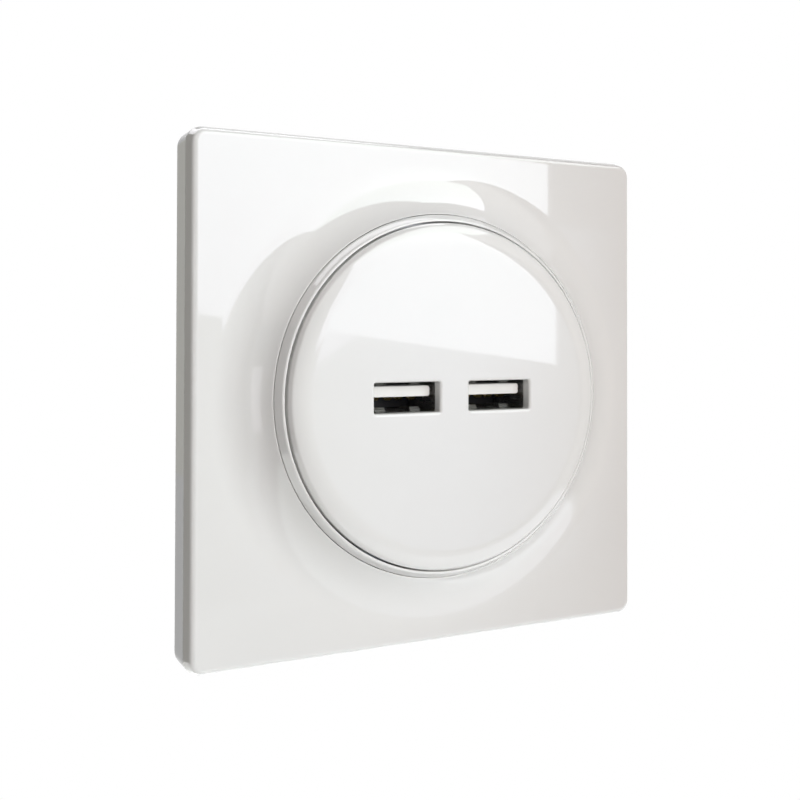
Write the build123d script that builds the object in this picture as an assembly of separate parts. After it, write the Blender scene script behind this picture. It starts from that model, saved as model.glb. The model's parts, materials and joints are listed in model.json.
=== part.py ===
from build123d import *
import os
from math import sqrt

# Flush wall socket with two USB-A outlets. All sizes are in millimetres.
# Each piece is drawn as it lies on the wall: x to the right, y up, z out of the wall into the room.
# stand_up then turns the pieces so that the front looks along -Y and the top along +Z.

# Clearances between pieces that seat on or slide in one another
SEAT = 0.1
SLIP = 0.15
PLAY = 0.3

# Cover plate
PLATE_SIDE = 88.0
PLATE_DEPTH = 7.6
PLATE_WALL = 2.0
PLATE_CORNER_R = 2.8
PLATE_EDGE_R = 1.8
FLARE_FOOT_R = 40.6
FLARE_RISE = 4.45
LIP_DEPTH = 3.75
LEDGE_REACH = 1.9
LEDGE_T = 1.4
RIB_T = 1.0
RIB_OFFSET = 18.0
RIB_DEPTH = 3.2

# Bezel ring
RING_R = 31.2
RING_BAND = 1.25
RING_STEP = 1.4
RING_FLANGE_T = 1.2
PLATE_SEAM = 0.12

# Face cover
FACE_RISE = 7.7
FACE_WALL = 2.0
FACE_SKIRT = 1.8
FACE_EDGE_RUN = 3.75
FACE_EDGE_DROP = 1.5
FACE_SEAM = 0.3
MOUTH_W = 12.2
MOUTH_H = 5.1
MOUTH_CORNER_R = 0.5
MOUTH_RIM_R = 0.42
PORT_PITCH = 17.9

# Snap legs of the ring and of the face
LEG_W = 6.0
LEG_T = 1.1
LEG_NIB = 0.7
LEG_NIB_HEIGHT = 1.2
LEG_REACH = 4.6
POCKET_WALL = 1.6
LATCH_WALL = 0.55

# USB-A connector
SHELL_INNER_W = 12.5
SHELL_INNER_H = 5.12
SHEET = 0.3
SHELL_CORNER_R = 0.7
CONNECTOR_LENGTH = 13.8
BASE_LENGTH = 3.8
TONGUE_W = 11.1
TONGUE_T = 1.84
TONGUE_DROP = 0.72
TONGUE_SETBACK = 1.5
TONGUE_CORNER_R = 0.45
SPRING_W = 1.9
SPRING_OFFSET = 3.3
SPRING_LENGTH = 5.0
SPRING_BEND = 0.6
SPRING_SETBACK = 1.2
SPRING_GAP = 0.3
CONTACT_OFFSETS = (-3.5, -1.0, 1.0, 3.5)
CONTACT_W = 1.0
CONTACT_T = 0.25
CONTACT_BOW = 0.65
CONTACT_BOW_LENGTH = 3.4
TAIL_LENGTH = 1.8
SHELL_LEG_W = 2.0
SHELL_LEG_SETBACK = 3.6

# Support frame
FRAME_MARGIN = 5.5
FRAME_T = 1.0
FRAME_CORNER_R = 4.0
FRAME_BEND_R = 0.8
BEAD_LENGTH = 14.0
BEAD_W = 2.4
BEAD_DEPTH = 0.5
BEAD_GAP = 2.8
BOX_SCREW_PITCH = 60.0
BOX_SLOT_W = 3.8
BOX_SLOT_LENGTH = 6.0
CORNER_HOLE_R = 1.7
CORNER_HOLE_INSET = 5.0

# Module case
MODULE_INSET = 6.8
BODY_DEPTH = 31.0
BODY_WALL = 1.8
BODY_EDGE_R = 1.6
SHOULDER_REACH = 2.1
SHOULDER_T = 1.5
GUSSETS = 8
GUSSET_REACH = 1.7
GUSSET_LENGTH = 3.0
GUSSET_T = 1.0
FLAT_CUT = 3.7
SPIGOT_WALL = 1.6
SPIGOT_LENGTH = 3.0
TUBE_WALL = 1.85
FRONT_WALL = 1.4
FLANGE_MARGIN = 3.0
FLANGE_T = 1.6
SCREW_NOTCH_R = 5.0
LOBE_W = 15.0
POST_R = 3.0
POST_GAP = 0.4
BOSS_LENGTH = 5.0
RAIL_T = 1.3

# Case screws
CASE_SCREW_R = 1.3
CASE_SCREW_HEAD_R = 2.5
CASE_SCREW_HEAD_T = 1.6
CASE_SCREW_BITE = 9.0
RECESS_ARM = 2.6
RECESS_W = 0.7
RECESS_DEPTH = 0.9

# Wire terminals
TERMINAL_X = 10.0
TERMINAL_ABOVE_FLOOR = 7.0
TERMINAL_SCREW_R = 1.75
TERMINAL_HEAD_R = 2.9
TERMINAL_HEAD_T = 2.0
TERMINAL_COLLAR_T = 1.0
TERMINAL_COLLAR_WALL = 1.2
CAGE_W = 8.0
CAGE_LOOP = 6.0
CAGE_SIDE_T = 1.0
CAGE_NUT_T = 2.0
CAGE_FLOOR_T = 1.4
CAGE_TRAVEL = 3.2
NUT_ROOM = 3.4
BAR_W = 5.0
BAR_T = 1.2
BAR_TAB_W = 2.0
BAR_TAB_REACH = 1.2
CHAMBER_WALL = 1.2
WIRE_R = 1.7
WIRE_FUNNEL_R = 2.6
WIRE_FUNNEL_DEPTH = 0.8

# Circuit board and what it carries
BOARD_T = 1.6
BOARD_MARGIN = 0.6
BOARD_BACK_GAP = 3.2
CORE_W = 16.0
CORE_GAP = 0.5
CORE_BACK_GAP = 3.0
CORE_T = 5.0
CORE_LEG_W = 2.2
CORE_YOKE_L = 2.0
CORE_MIDDLE_W = 4.0
COIL_W = 11.0
COIL_H = 11.4
BOBBIN_T = 0.6
BOBBIN_FLANGE_T = 0.8
BOBBIN_FOOT_H = 1.2
BULK_CAP_R = 4.0
BULK_CAP_GAP = 2.25
BULK_CAP_X = 14.2
OUTPUT_CAP_R = 3.15
OUTPUT_CAP_L = 8.0
OUTPUT_CAP_X = 13.5
OUTPUT_CAP_BACK = 5.4
CAN_CHAMFER = 0.5
CAN_GROOVE = 0.45
CAN_GROOVE_UP = 1.8
FUSE_R = 1.7
FUSE_L = 9.0
FUSE_CAP_L = 2.0
FUSE_CAP_T = 0.3
CHOKE_R = 3.0
CHOKE_L = 7.0
CHOKE_FLANGE_T = 1.0
CHOKE_WAIST = 0.6
CHOKE_GAP = 1.35
CHOKE_X = 6.5
DISC_CAP_R = 3.2
DISC_CAP_T = 3.2
CHIP_PITCH = 1.27
CHIP_LEGS = 4
CHIP_LEG_W = 0.45
CHIP_LEG_REACH = 1.0
CHIP_LEG_T = 0.25
CHIP_GAP = 0.15
BRIDGE_SIZE = (4.0, 5.2, 2.5)
CONTROL_CHIP_SIZE = (3.9, 4.9, 1.5)
OPTOCOUPLER_SIZE = (4.4, 5.0, 2.1)
RECTIFIER_SIZE = (4.0, 5.4, 1.2)

# Levels along z, from the wall plane at 0
FRAME_FRONT = FRAME_T
FRAME_RIM_FRONT = PLATE_DEPTH - PLATE_WALL - RIB_DEPTH - PLAY
FLANGE_FRONT = FRAME_FRONT + FLANGE_T
LIP_FRONT = PLATE_DEPTH + FLARE_RISE
LEDGE_FRONT = LIP_FRONT - LIP_DEPTH
RING_BACK = LEDGE_FRONT + SEAT
RING_FLANGE_FRONT = RING_BACK + RING_FLANGE_T
HOUSING_FRONT = RING_FLANGE_FRONT + PLAY
HOUSING_INSIDE = HOUSING_FRONT - FRONT_WALL
FACE_FRONT = PLATE_DEPTH + FACE_RISE
FACE_BACK = FACE_FRONT - FACE_WALL
FACE_SKIRT_BACK = RING_FLANGE_FRONT + SLIP
SHELL_FRONT = FACE_BACK - SEAT
SHELL_BACK = SHELL_FRONT - CONNECTOR_LENGTH
BASE_FRONT = SHELL_BACK + BASE_LENGTH
TONGUE_FRONT = SHELL_FRONT - TONGUE_SETBACK
BODY_BACK = -BODY_DEPTH
CAVITY_BACK = BODY_BACK + BODY_WALL
POST_BACK = CAVITY_BACK + BOSS_LENGTH
BOARD_FRONT = HOUSING_INSIDE - SLIP
BOARD_BACK = CAVITY_BACK + BOARD_BACK_GAP
HEAD_FRONT = BODY_BACK + TERMINAL_HEAD_T
CAGE_BACK = HEAD_FRONT + CAGE_TRAVEL + PLAY
NUT_FRONT = CAGE_BACK + CAGE_NUT_T
BAR_BACK = NUT_FRONT + NUT_ROOM
BAR_FRONT = BAR_BACK + BAR_T
CAGE_FLOOR = BAR_FRONT + CAGE_TRAVEL + SLIP
CAGE_FRONT = CAGE_FLOOR + CAGE_FLOOR_T
WIRE_LEVEL = (BAR_FRONT + CAGE_FLOOR) / 2
SMALL_PARTS_LEVEL = SHELL_BACK - OUTPUT_CAP_BACK
CORE_BACK = BOARD_BACK + CORE_BACK_GAP
CORE_FRONT = SMALL_PARTS_LEVEL - OPTOCOUPLER_SIZE[1] / 2 - CORE_GAP
BULK_CAP_BACK = BOARD_BACK + BOARD_MARGIN
BULK_CAP_FRONT = SMALL_PARTS_LEVEL - OUTPUT_CAP_R - BULK_CAP_GAP
SHELL_LEG_LEVEL = SHELL_BACK + SHELL_LEG_SETBACK
FLAT_FRONT = -SPIGOT_LENGTH - PLAY - BODY_WALL

# Radii and heights that follow from the driving sizes
LIP_R = RING_R + PLATE_SEAM
RING_INNER_R = RING_R - RING_BAND
FACE_R = RING_INNER_R - FACE_SEAM
FACE_FLAT_R = FACE_R - FACE_EDGE_RUN
FACE_INNER_R = FACE_R - FACE_SKIRT
TUBE_R = RING_R - MODULE_INSET
SPIGOT_R = TUBE_R - TUBE_WALL
SPIGOT_INNER_R = SPIGOT_R - SPIGOT_WALL
CAVITY_R = SPIGOT_R + SLIP
BODY_R = CAVITY_R + BODY_WALL
FLAT_BELOW_AXIS = BODY_R - FLAT_CUT
RING_FLANGE_R = TUBE_R + POCKET_WALL
RING_LEG_R = RING_FLANGE_R + SLIP
LOBE_R = RING_LEG_R + LEG_T + LEG_NIB + LATCH_WALL
FACE_LEG_R = TUBE_R + SLIP
FRAME_SIDE = BOX_SCREW_PITCH + 2 * FRAME_MARGIN
FLANGE_R = BOX_SCREW_PITCH / 2 + FLANGE_MARGIN
BEAD_R = FLANGE_R + BEAD_GAP + BEAD_W / 2
SHELL_W = SHELL_INNER_W + 2 * SHEET
SHELL_H = SHELL_INNER_H + 2 * SHEET
TONGUE_TOP = SHELL_INNER_H / 2 - TONGUE_DROP
TONGUE_BOTTOM = TONGUE_TOP - TONGUE_T
BOARD_TOP = -SHELL_H / 2
BOARD_BOTTOM = BOARD_TOP - BOARD_T
BOARD_W = 2 * (sqrt(SPIGOT_INNER_R**2 - BOARD_BOTTOM**2) - BOARD_MARGIN)
CAVITY_FLOOR = BODY_WALL - FLAT_BELOW_AXIS
TERMINAL_Y = CAVITY_FLOOR + TERMINAL_ABOVE_FLOOR
POST_SPREAD = (SPIGOT_INNER_R - POST_R - POST_GAP) / sqrt(2)
LOWER_POST_Y = CAVITY_FLOOR + POST_R + POST_GAP
PORTS = {"left": -PORT_PITCH / 2, "right": PORT_PITCH / 2}
TERMINALS = {"live": -TERMINAL_X, "neutral": TERMINAL_X}
POSTS = ((-POST_SPREAD, POST_SPREAD), (POST_SPREAD, POST_SPREAD), (0, LOWER_POST_Y))
QUARTERS = (0, 90, 180, 270)
DIAGONALS = (45, 135, 225, 315)


def block(x, y, width, height, back, front):
    """Box centred on x, y that runs along z from back to front."""
    return Pos(x, y, back) * Box(width, height, front - back, align=(Align.CENTER, Align.CENTER, Align.MIN))


def disc(x, y, radius, back, front):
    """Round bar along z, centred on x, y."""
    return Pos(x, y, back) * Cylinder(radius, front - back, align=(Align.CENTER, Align.CENTER, Align.MIN))


def tube(outer, inner, back, front):
    """Round tube about the socket's axis."""
    return disc(0, 0, outer, back, front) - disc(0, 0, inner, back, front)


def rounded_block(x, y, width, height, corner, back, front):
    """Box along z with rounded long edges."""
    return extrude(Pos(x, y, back) * RectangleRounded(width, height, corner), front - back)


def standing(x, z, radius, low, high):
    """Round bar that stands on the board, along y."""
    return Pos(x, low, z) * Rot(-90, 0, 0) * Cylinder(
        radius, high - low, align=(Align.CENTER, Align.CENTER, Align.MIN)
    )


def turned(outline):
    """Solid turned about the socket's axis from an outline in radius and z."""
    return revolve(Plane.XZ * make_face(outline), Axis.Z)


def side_profile(x, points, width):
    """Strip of the given width about x, cut to an outline in z and y."""
    plane = Plane(origin=(x, 0, 0), x_dir=(0, 0, 1), z_dir=(-1, 0, 0))
    return extrude(plane * make_face(Polyline(*points, close=True)), width / 2, both=True)


def arc_radius(run, rise):
    """Radius of an arc that leaves a flat tangentially and rises so far over so much run."""
    return (run**2 + rise**2) / (2 * rise)


def snap_leg(radius, back, front, outwards):
    """Leg along z with a wedge-shaped nib at its end, on the side of +x."""
    nib = LEG_NIB if outwards else -LEG_NIB
    nib_root = radius + LEG_T if outwards else radius
    top = back + LEG_NIB_HEIGHT
    outline = Polyline((nib_root, back), (nib_root + nib, top), (nib_root, top), close=True)
    wedge = extrude(Plane.XZ * make_face(outline), LEG_W / 2, both=True)
    return block(radius + LEG_T / 2, 0, LEG_T, LEG_W, back, front) + wedge


def cross_recess(x, y, back):
    """Cutter for a cross slot in a screw head that faces backwards."""
    upright = block(x, y, RECESS_W, RECESS_ARM, back, back + RECESS_DEPTH)
    return upright + block(x, y, RECESS_ARM, RECESS_W, back, back + RECESS_DEPTH)


# Cover plate, ring and face


def cover_plate():
    inside = PLATE_DEPTH - PLATE_WALL
    plate = rounded_block(0, 0, PLATE_SIDE, PLATE_SIDE, PLATE_CORNER_R, 0, PLATE_DEPTH)
    plate = fillet(plate.faces().sort_by(Axis.Z)[-1].edges(), PLATE_EDGE_R)
    hollow = PLATE_SIDE - 2 * PLATE_WALL
    plate -= rounded_block(0, 0, hollow, hollow, PLATE_CORNER_R - PLATE_WALL, 0, inside)
    plate -= disc(0, 0, FLARE_FOOT_R, 0, PLATE_DEPTH)
    collar_r = LIP_R + PLATE_WALL
    curve_r = arc_radius(FLARE_FOOT_R - LIP_R, FLARE_RISE)
    back_r = curve_r + PLATE_WALL
    back_level = PLATE_DEPTH + curve_r - sqrt(back_r**2 - (FLARE_FOOT_R - collar_r) ** 2)
    ledge_back = LEDGE_FRONT - LEDGE_T
    front_curve = TangentArc((FLARE_FOOT_R, PLATE_DEPTH), (LIP_R, LIP_FRONT), tangent=(-1, 0))
    collar = Polyline(
        (LIP_R, LIP_FRONT),
        (LIP_R, LEDGE_FRONT),
        (LIP_R - LEDGE_REACH, LEDGE_FRONT),
        (LIP_R - LEDGE_REACH, ledge_back),
        (collar_r, ledge_back),
        (collar_r, back_level),
    )
    back_curve = TangentArc((FLARE_FOOT_R, inside), (collar_r, back_level), tangent=(-1, 0))
    foot = Line((FLARE_FOOT_R, inside), (FLARE_FOOT_R, PLATE_DEPTH))
    plate += turned([front_curve, collar, back_curve, foot])
    rib_root = PLATE_SIDE / 2 - PLATE_WALL / 2
    rib_tip = sqrt(collar_r**2 - RIB_OFFSET**2) + PLATE_WALL
    middle = (rib_root + rib_tip) / 2
    for turn in QUARTERS:
        for x in (-RIB_OFFSET, RIB_OFFSET):
            rib = block(x, middle, RIB_T, rib_root - rib_tip, inside - RIB_DEPTH, inside + PLATE_WALL / 2)
            plate += Rot(0, 0, turn) * rib
    return plate


def bezel_ring():
    outline = Polyline(
        (RING_INNER_R, LIP_FRONT + RING_STEP),
        (RING_R, LIP_FRONT),
        (RING_R, RING_BACK),
        (RING_FLANGE_R, RING_BACK),
        (RING_FLANGE_R, RING_FLANGE_FRONT),
        (RING_INNER_R, RING_FLANGE_FRONT),
        close=True,
    )
    ring = turned(outline)
    leg = snap_leg(RING_LEG_R, RING_BACK - LEG_REACH, RING_FLANGE_FRONT - RING_FLANGE_T / 2, True)
    for turn in DIAGONALS:
        ring += Rot(0, 0, turn) * leg
    return ring


def face_cover():
    rim_level = FACE_FRONT - FACE_EDGE_DROP
    edge = TangentArc((FACE_FLAT_R, FACE_FRONT), (FACE_R, rim_level), tangent=(1, 0))
    skirt = Polyline(
        (FACE_R, rim_level),
        (FACE_R, FACE_SKIRT_BACK),
        (FACE_INNER_R, FACE_SKIRT_BACK),
        (FACE_INNER_R, FACE_BACK),
        (0, FACE_BACK),
        (0, FACE_FRONT),
        (FACE_FLAT_R, FACE_FRONT),
    )
    face = turned([edge, skirt])
    for x in PORTS.values():
        face -= rounded_block(x, 0, MOUTH_W, MOUTH_H, MOUTH_CORNER_R, FACE_BACK, FACE_FRONT)
    front_edges = face.edges().filter_by_position(Axis.Z, FACE_FRONT, FACE_FRONT)
    face = fillet(front_edges.filter_by(lambda edge: edge.length < 2 * FACE_FLAT_R), MOUTH_RIM_R)
    leg = snap_leg(FACE_LEG_R, LEDGE_FRONT - LEG_REACH / 2, FACE_BACK + FACE_WALL / 4, False)
    for turn in QUARTERS:
        face += Rot(0, 0, turn) * leg
    return face


# USB-A connectors


def shell_spring(x, y, inwards_x, inwards_y):
    """Slot to cut in a shell wall and the leaf that is bent out of it into the mouth."""
    plane = Plane(origin=(x, y, 0), x_dir=(0, 0, 1), z_dir=(-inwards_y, inwards_x, 0))
    root = SHELL_FRONT - SPRING_SETBACK
    tip = root - SPRING_LENGTH
    slot = Polyline((root, 0), (root, SHEET), (tip - SPRING_GAP, SHEET), (tip - SPRING_GAP, 0), close=True)
    leaf = Polyline((root, 0), (root, SHEET), (tip, SHEET + SPRING_BEND), (tip, SPRING_BEND), close=True)
    slot_solid = extrude(plane * make_face(slot), SPRING_W / 2 + SPRING_GAP, both=True)
    leaf_solid = extrude(plane * make_face(leaf), SPRING_W / 2, both=True)
    return slot_solid, leaf_solid


def usb_shell(x):
    shell = rounded_block(x, 0, SHELL_W, SHELL_H, SHELL_CORNER_R, SHELL_BACK, SHELL_FRONT)
    inner_corner = SHELL_CORNER_R - SHEET
    shell -= rounded_block(x, 0, SHELL_INNER_W, SHELL_INNER_H, inner_corner, SHELL_BACK, SHELL_FRONT)
    springs = [shell_spring(x - SHELL_W / 2, 0, 1, 0), shell_spring(x + SHELL_W / 2, 0, -1, 0)]
    for offset in (-SPRING_OFFSET, SPRING_OFFSET):
        springs.append(shell_spring(x + offset, SHELL_H / 2, 0, -1))
        springs.append(shell_spring(x + offset, -SHELL_H / 2, 0, 1))
    for slot, leaf in springs:
        shell = shell - slot + leaf
    for leg_x in shell_leg_places(x):
        height = BOARD_T + TAIL_LENGTH + SHELL_CORNER_R
        middle = SHELL_CORNER_R - SHELL_H / 2 - height / 2
        leg_back = SHELL_LEG_LEVEL - SHELL_LEG_W / 2
        shell += block(leg_x, middle, SHEET, height, leg_back, leg_back + SHELL_LEG_W)
    return shell


def shell_leg_places(x):
    reach = (SHELL_W - SHEET) / 2
    return (x - reach, x + reach)


def usb_base(x):
    base = rounded_block(
        x, 0, SHELL_INNER_W - SEAT, SHELL_INNER_H - SEAT, SHELL_CORNER_R - SHEET, SHELL_BACK, BASE_FRONT
    )
    for offset in CONTACT_OFFSETS:
        slot_h = CONTACT_T + 2 * SEAT
        slot_w = CONTACT_W + 2 * SEAT
        base -= block(x + offset, contact_level() - CONTACT_T / 2, slot_w, slot_h, SHELL_BACK, BASE_FRONT)
    return base


def usb_tongue(x):
    middle = TONGUE_TOP - TONGUE_T / 2
    tongue = rounded_block(x, middle, TONGUE_W, TONGUE_T, TONGUE_CORNER_R, BASE_FRONT, TONGUE_FRONT)
    for offset in CONTACT_OFFSETS:
        groove_h = 2 * (contact_level() + SEAT - TONGUE_BOTTOM)
        groove_w = CONTACT_W + 2 * SEAT
        groove_front = TONGUE_FRONT - TONGUE_T / 2
        tongue -= block(x + offset, TONGUE_BOTTOM, groove_w, groove_h, BASE_FRONT, groove_front)
    return tongue


def contact_level():
    """Height of the contacts' upper side, half sunk in the tongue's grooves."""
    return TONGUE_BOTTOM + CONTACT_T / 2


def usb_contacts(x):
    top = contact_level()
    tip = TONGUE_FRONT - TONGUE_T / 2 - SLIP
    bow_start = tip - CONTACT_BOW_LENGTH
    bow = tip - CONTACT_BOW_LENGTH / 3
    tail_back = SHELL_BACK - SLIP - CONTACT_T
    tail_low = BOARD_BOTTOM - TAIL_LENGTH
    outline = (
        (tail_back, top),
        (bow_start, top),
        (bow, top - CONTACT_BOW),
        (tip, top),
        (tip, top - CONTACT_T),
        (bow, top - CONTACT_BOW - CONTACT_T),
        (bow_start, top - CONTACT_T),
        (tail_back + CONTACT_T, top - CONTACT_T),
        (tail_back + CONTACT_T, tail_low),
        (tail_back, tail_low),
    )
    return Compound(children=[side_profile(x + offset, outline, CONTACT_W) for offset in CONTACT_OFFSETS])


# Support frame and module case


def box_slots(back, front):
    slot = extrude(Pos(0, 0, back) * SlotOverall(BOX_SLOT_LENGTH, BOX_SLOT_W), front - back)
    return [Rot(0, 0, turn) * Pos(BOX_SCREW_PITCH / 2, 0, 0) * slot for turn in QUARTERS]


def support_frame():
    """Pressed sheet with a turned-up rim, a bead across each corner and the holes for its screws."""
    frame = rounded_block(0, 0, FRAME_SIDE, FRAME_SIDE, FRAME_CORNER_R, 0, FRAME_RIM_FRONT)
    frame = fillet(frame.faces().sort_by(Axis.Z)[0].edges(), FRAME_BEND_R)
    tray = FRAME_SIDE - 2 * FRAME_T
    frame -= rounded_block(0, 0, tray, tray, FRAME_CORNER_R - FRAME_T, FRAME_FRONT, FRAME_RIM_FRONT)
    ridge = extrude(Pos(0, 0, FRAME_FRONT) * SlotOverall(BEAD_LENGTH, BEAD_W), BEAD_DEPTH)
    groove = extrude(SlotOverall(BEAD_LENGTH - 2 * BEAD_DEPTH, BEAD_W - 2 * BEAD_DEPTH), BEAD_DEPTH)
    for turn in DIAGONALS:
        place = Rot(0, 0, turn) * Pos(BEAD_R, 0, 0) * Rot(0, 0, 90)
        frame = frame + place * ridge - place * groove
    frame -= disc(0, 0, SPIGOT_R + PLAY, 0, FRAME_FRONT)
    for slot in box_slots(0, FRAME_FRONT):
        frame -= slot
    corner = FRAME_SIDE / 2 - CORNER_HOLE_INSET
    for x in (-corner, corner):
        for y in (-corner, corner):
            frame -= disc(x, y, CORNER_HOLE_R, 0, FRAME_FRONT)
    return frame


def board_rails():
    """Ledges in the front housing, beside the connectors, that hold the board's long edges."""
    rails = []
    inner = PORT_PITCH / 2 + SHELL_W / 2 + PLAY
    lowest = BOARD_BOTTOM - SEAT - RAIL_T
    outer = SPIGOT_R + TUBE_WALL
    for y in (BOARD_TOP + SEAT + RAIL_T / 2, lowest + RAIL_T / 2):
        for side in (-1, 1):
            x = side * (inner + outer) / 2
            rails.append(block(x, y, outer - inner, RAIL_T, FRAME_FRONT, HOUSING_FRONT))
    return rails


def front_housing():
    housing = disc(0, 0, TUBE_R, FLANGE_FRONT, HOUSING_FRONT)
    housing -= disc(0, 0, SPIGOT_R, FLANGE_FRONT, HOUSING_INSIDE) - board_rails()
    housing += tube(SPIGOT_R, SPIGOT_INNER_R, -SPIGOT_LENGTH, FLANGE_FRONT)
    flange = tube(FLANGE_R, SPIGOT_R, FRAME_FRONT, FLANGE_FRONT)
    lobe_r = (TUBE_R + LOBE_R) / 2
    lobe = block(lobe_r - TUBE_WALL / 2, 0, LOBE_R - TUBE_R + TUBE_WALL, LOBE_W, FLANGE_FRONT, LEDGE_FRONT)
    pocket_back = RING_BACK - LEG_REACH - PLAY
    pocket_w = LEG_W + 2 * SLIP
    pocket = block(RING_LEG_R + LEG_T / 2, 0, LEG_T + 2 * SLIP, pocket_w, pocket_back, LEDGE_FRONT)
    latch_front = RING_BACK - LEG_REACH + LEG_NIB_HEIGHT + SEAT
    latch = block(LOBE_R, 0, 2 * (LOBE_R - RING_LEG_R - LEG_T), pocket_w, pocket_back, latch_front)
    for turn in QUARTERS:
        flange -= Rot(0, 0, turn) * disc(BOX_SCREW_PITCH / 2, 0, SCREW_NOTCH_R, FRAME_FRONT, FLANGE_FRONT)
    housing += flange
    for turn in DIAGONALS:
        housing += Rot(0, 0, turn) * (lobe & disc(0, 0, LOBE_R, FLANGE_FRONT, LEDGE_FRONT))
        housing -= Rot(0, 0, turn) * (pocket + latch)
    catch_back = LEDGE_FRONT - LEG_REACH / 2 - PLAY
    catch_front = LEDGE_FRONT - LEG_REACH / 2 + LEG_NIB_HEIGHT + SEAT
    catch = block(TUBE_R, 0, 2 * (LEG_NIB + SLIP), pocket_w, catch_back, catch_front)
    for turn in QUARTERS:
        housing -= Rot(0, 0, turn) * catch
    for x in PORTS.values():
        window_w = SHELL_W + 2 * SLIP
        window_h = SHELL_H + 2 * SLIP
        housing -= block(x, 0, window_w, window_h, HOUSING_INSIDE, HOUSING_FRONT)
    for x, y in POSTS:
        housing += disc(x, y, POST_R, POST_BACK + SEAT, HOUSING_INSIDE)
    for x, y in POSTS:
        housing -= disc(x, y, CASE_SCREW_R + SEAT, POST_BACK + SEAT, POST_BACK + CASE_SCREW_BITE + PLAY)
    return housing


def cavity():
    """Room inside the rear housing, with its flat floor below."""
    room = disc(0, 0, CAVITY_R, CAVITY_BACK, 0)
    floor_front = FLAT_FRONT + BODY_WALL
    return room - block(0, CAVITY_FLOOR - BODY_R, 2 * BODY_R, 2 * BODY_R, CAVITY_BACK, floor_front)


def shoulder_gussets():
    """Small webs that brace the shoulder against the side of the case."""
    root = BODY_R - BODY_WALL / 2
    tip = -SHOULDER_T - GUSSET_LENGTH
    outline = Polyline(
        (root, -SHOULDER_T / 2),
        (BODY_R + GUSSET_REACH, -SHOULDER_T / 2),
        (BODY_R + GUSSET_REACH, -SHOULDER_T),
        (BODY_R, tip),
        (root, tip),
        close=True,
    )
    web = extrude(Plane.XZ * make_face(outline), GUSSET_T / 2, both=True)
    return [Rot(0, 0, (turn + 0.5) * 360 / GUSSETS) * web for turn in range(GUSSETS)]


def terminal_chambers():
    """Walls beside each cage that guide it along z."""
    low = -FLAT_BELOW_AXIS + BODY_WALL / 2
    high = TERMINAL_Y + CAGE_LOOP / 2 + PLAY
    walls = []
    for x in TERMINALS.values():
        for side in (-1, 1):
            wall_x = x + side * (CAGE_W / 2 + SLIP + CHAMBER_WALL / 2)
            back = CAVITY_BACK - BODY_WALL / 2
            walls.append(block(wall_x, (low + high) / 2, CHAMBER_WALL, high - low, back, CAGE_FRONT))
    return walls


def wire_funnel(x):
    """Cutter for a wire entry in the flat underside: a bore with a tapered mouth."""
    bore = standing(x, WIRE_LEVEL, WIRE_R, -FLAT_BELOW_AXIS, CAVITY_FLOOR)
    cone = Cone(
        WIRE_FUNNEL_R, WIRE_R, WIRE_FUNNEL_DEPTH, align=(Align.CENTER, Align.CENTER, Align.MIN)
    )
    return bore + Pos(x, -FLAT_BELOW_AXIS, WIRE_LEVEL) * Rot(-90, 0, 0) * cone


def rear_housing():
    case = disc(0, 0, BODY_R, BODY_BACK, 0)
    case -= block(0, -FLAT_BELOW_AXIS - BODY_R, 2 * BODY_R, 2 * BODY_R, BODY_BACK, FLAT_FRONT)
    case = fillet(case.faces().sort_by(Axis.Z)[0].edges(), BODY_EDGE_R)
    case += disc(0, 0, BODY_R + SHOULDER_REACH, -SHOULDER_T, 0)
    for gusset in shoulder_gussets():
        case += gusset
    for x in TERMINALS.values():
        collar_r = TERMINAL_HEAD_R + PLAY + TERMINAL_COLLAR_WALL
        case += disc(x, TERMINAL_Y, collar_r, BODY_BACK - TERMINAL_COLLAR_T, CAVITY_BACK)
    case -= cavity()
    inside = disc(0, 0, BODY_R - BODY_WALL / 2, BODY_BACK, 0)
    for wall in terminal_chambers():
        case += wall & inside
    for x, y in POSTS:
        case += disc(x, y, POST_R, CAVITY_BACK, POST_BACK)
    for x, y in POSTS:
        head_front = BODY_BACK + CASE_SCREW_HEAD_T + SLIP
        case -= disc(x, y, CASE_SCREW_HEAD_R + SLIP, BODY_BACK, head_front)
        case -= disc(x, y, CASE_SCREW_R + SLIP, BODY_BACK, POST_BACK)
    for x in TERMINALS.values():
        case -= disc(x, TERMINAL_Y, TERMINAL_HEAD_R + PLAY, BODY_BACK - TERMINAL_COLLAR_T, CAVITY_BACK)
        case -= wire_funnel(x)
    return case


def housing_screws():
    screws = []
    for x, y in POSTS:
        head_back = BODY_BACK + SLIP
        head_front = head_back + CASE_SCREW_HEAD_T
        head = disc(x, y, CASE_SCREW_HEAD_R, head_back, head_front)
        head = chamfer(head.faces().sort_by(Axis.Z)[0].edges(), CASE_SCREW_HEAD_T / 3)
        shank = disc(x, y, CASE_SCREW_R, head_front, POST_BACK + CASE_SCREW_BITE)
        screws.append(head + shank - cross_recess(x, y, head_back))
    return Compound(children=screws)


# Wire terminals


def contact_bar(x):
    low = TERMINAL_Y - CAGE_LOOP / 2 - PLAY
    bar = block(x, (low + BOARD_BOTTOM) / 2, BAR_W, BOARD_BOTTOM - low, BAR_BACK, BAR_FRONT)
    tab_high = BOARD_TOP + BAR_TAB_REACH
    return bar + block(
        x, (BOARD_BOTTOM + tab_high) / 2, BAR_TAB_W, tab_high - BOARD_BOTTOM, BAR_BACK, BAR_FRONT
    )


def terminal_clamp(x):
    cage = block(x, TERMINAL_Y, CAGE_W, CAGE_LOOP, CAGE_BACK, CAGE_FRONT)
    cage = fillet(cage.edges().filter_by(Axis.Y), CAGE_SIDE_T / 2)
    cage -= block(x, TERMINAL_Y, CAGE_W - 2 * CAGE_SIDE_T, CAGE_LOOP, NUT_FRONT, CAGE_FLOOR)
    return cage - disc(x, TERMINAL_Y, TERMINAL_SCREW_R + SEAT / 2, CAGE_BACK, NUT_FRONT)


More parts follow.
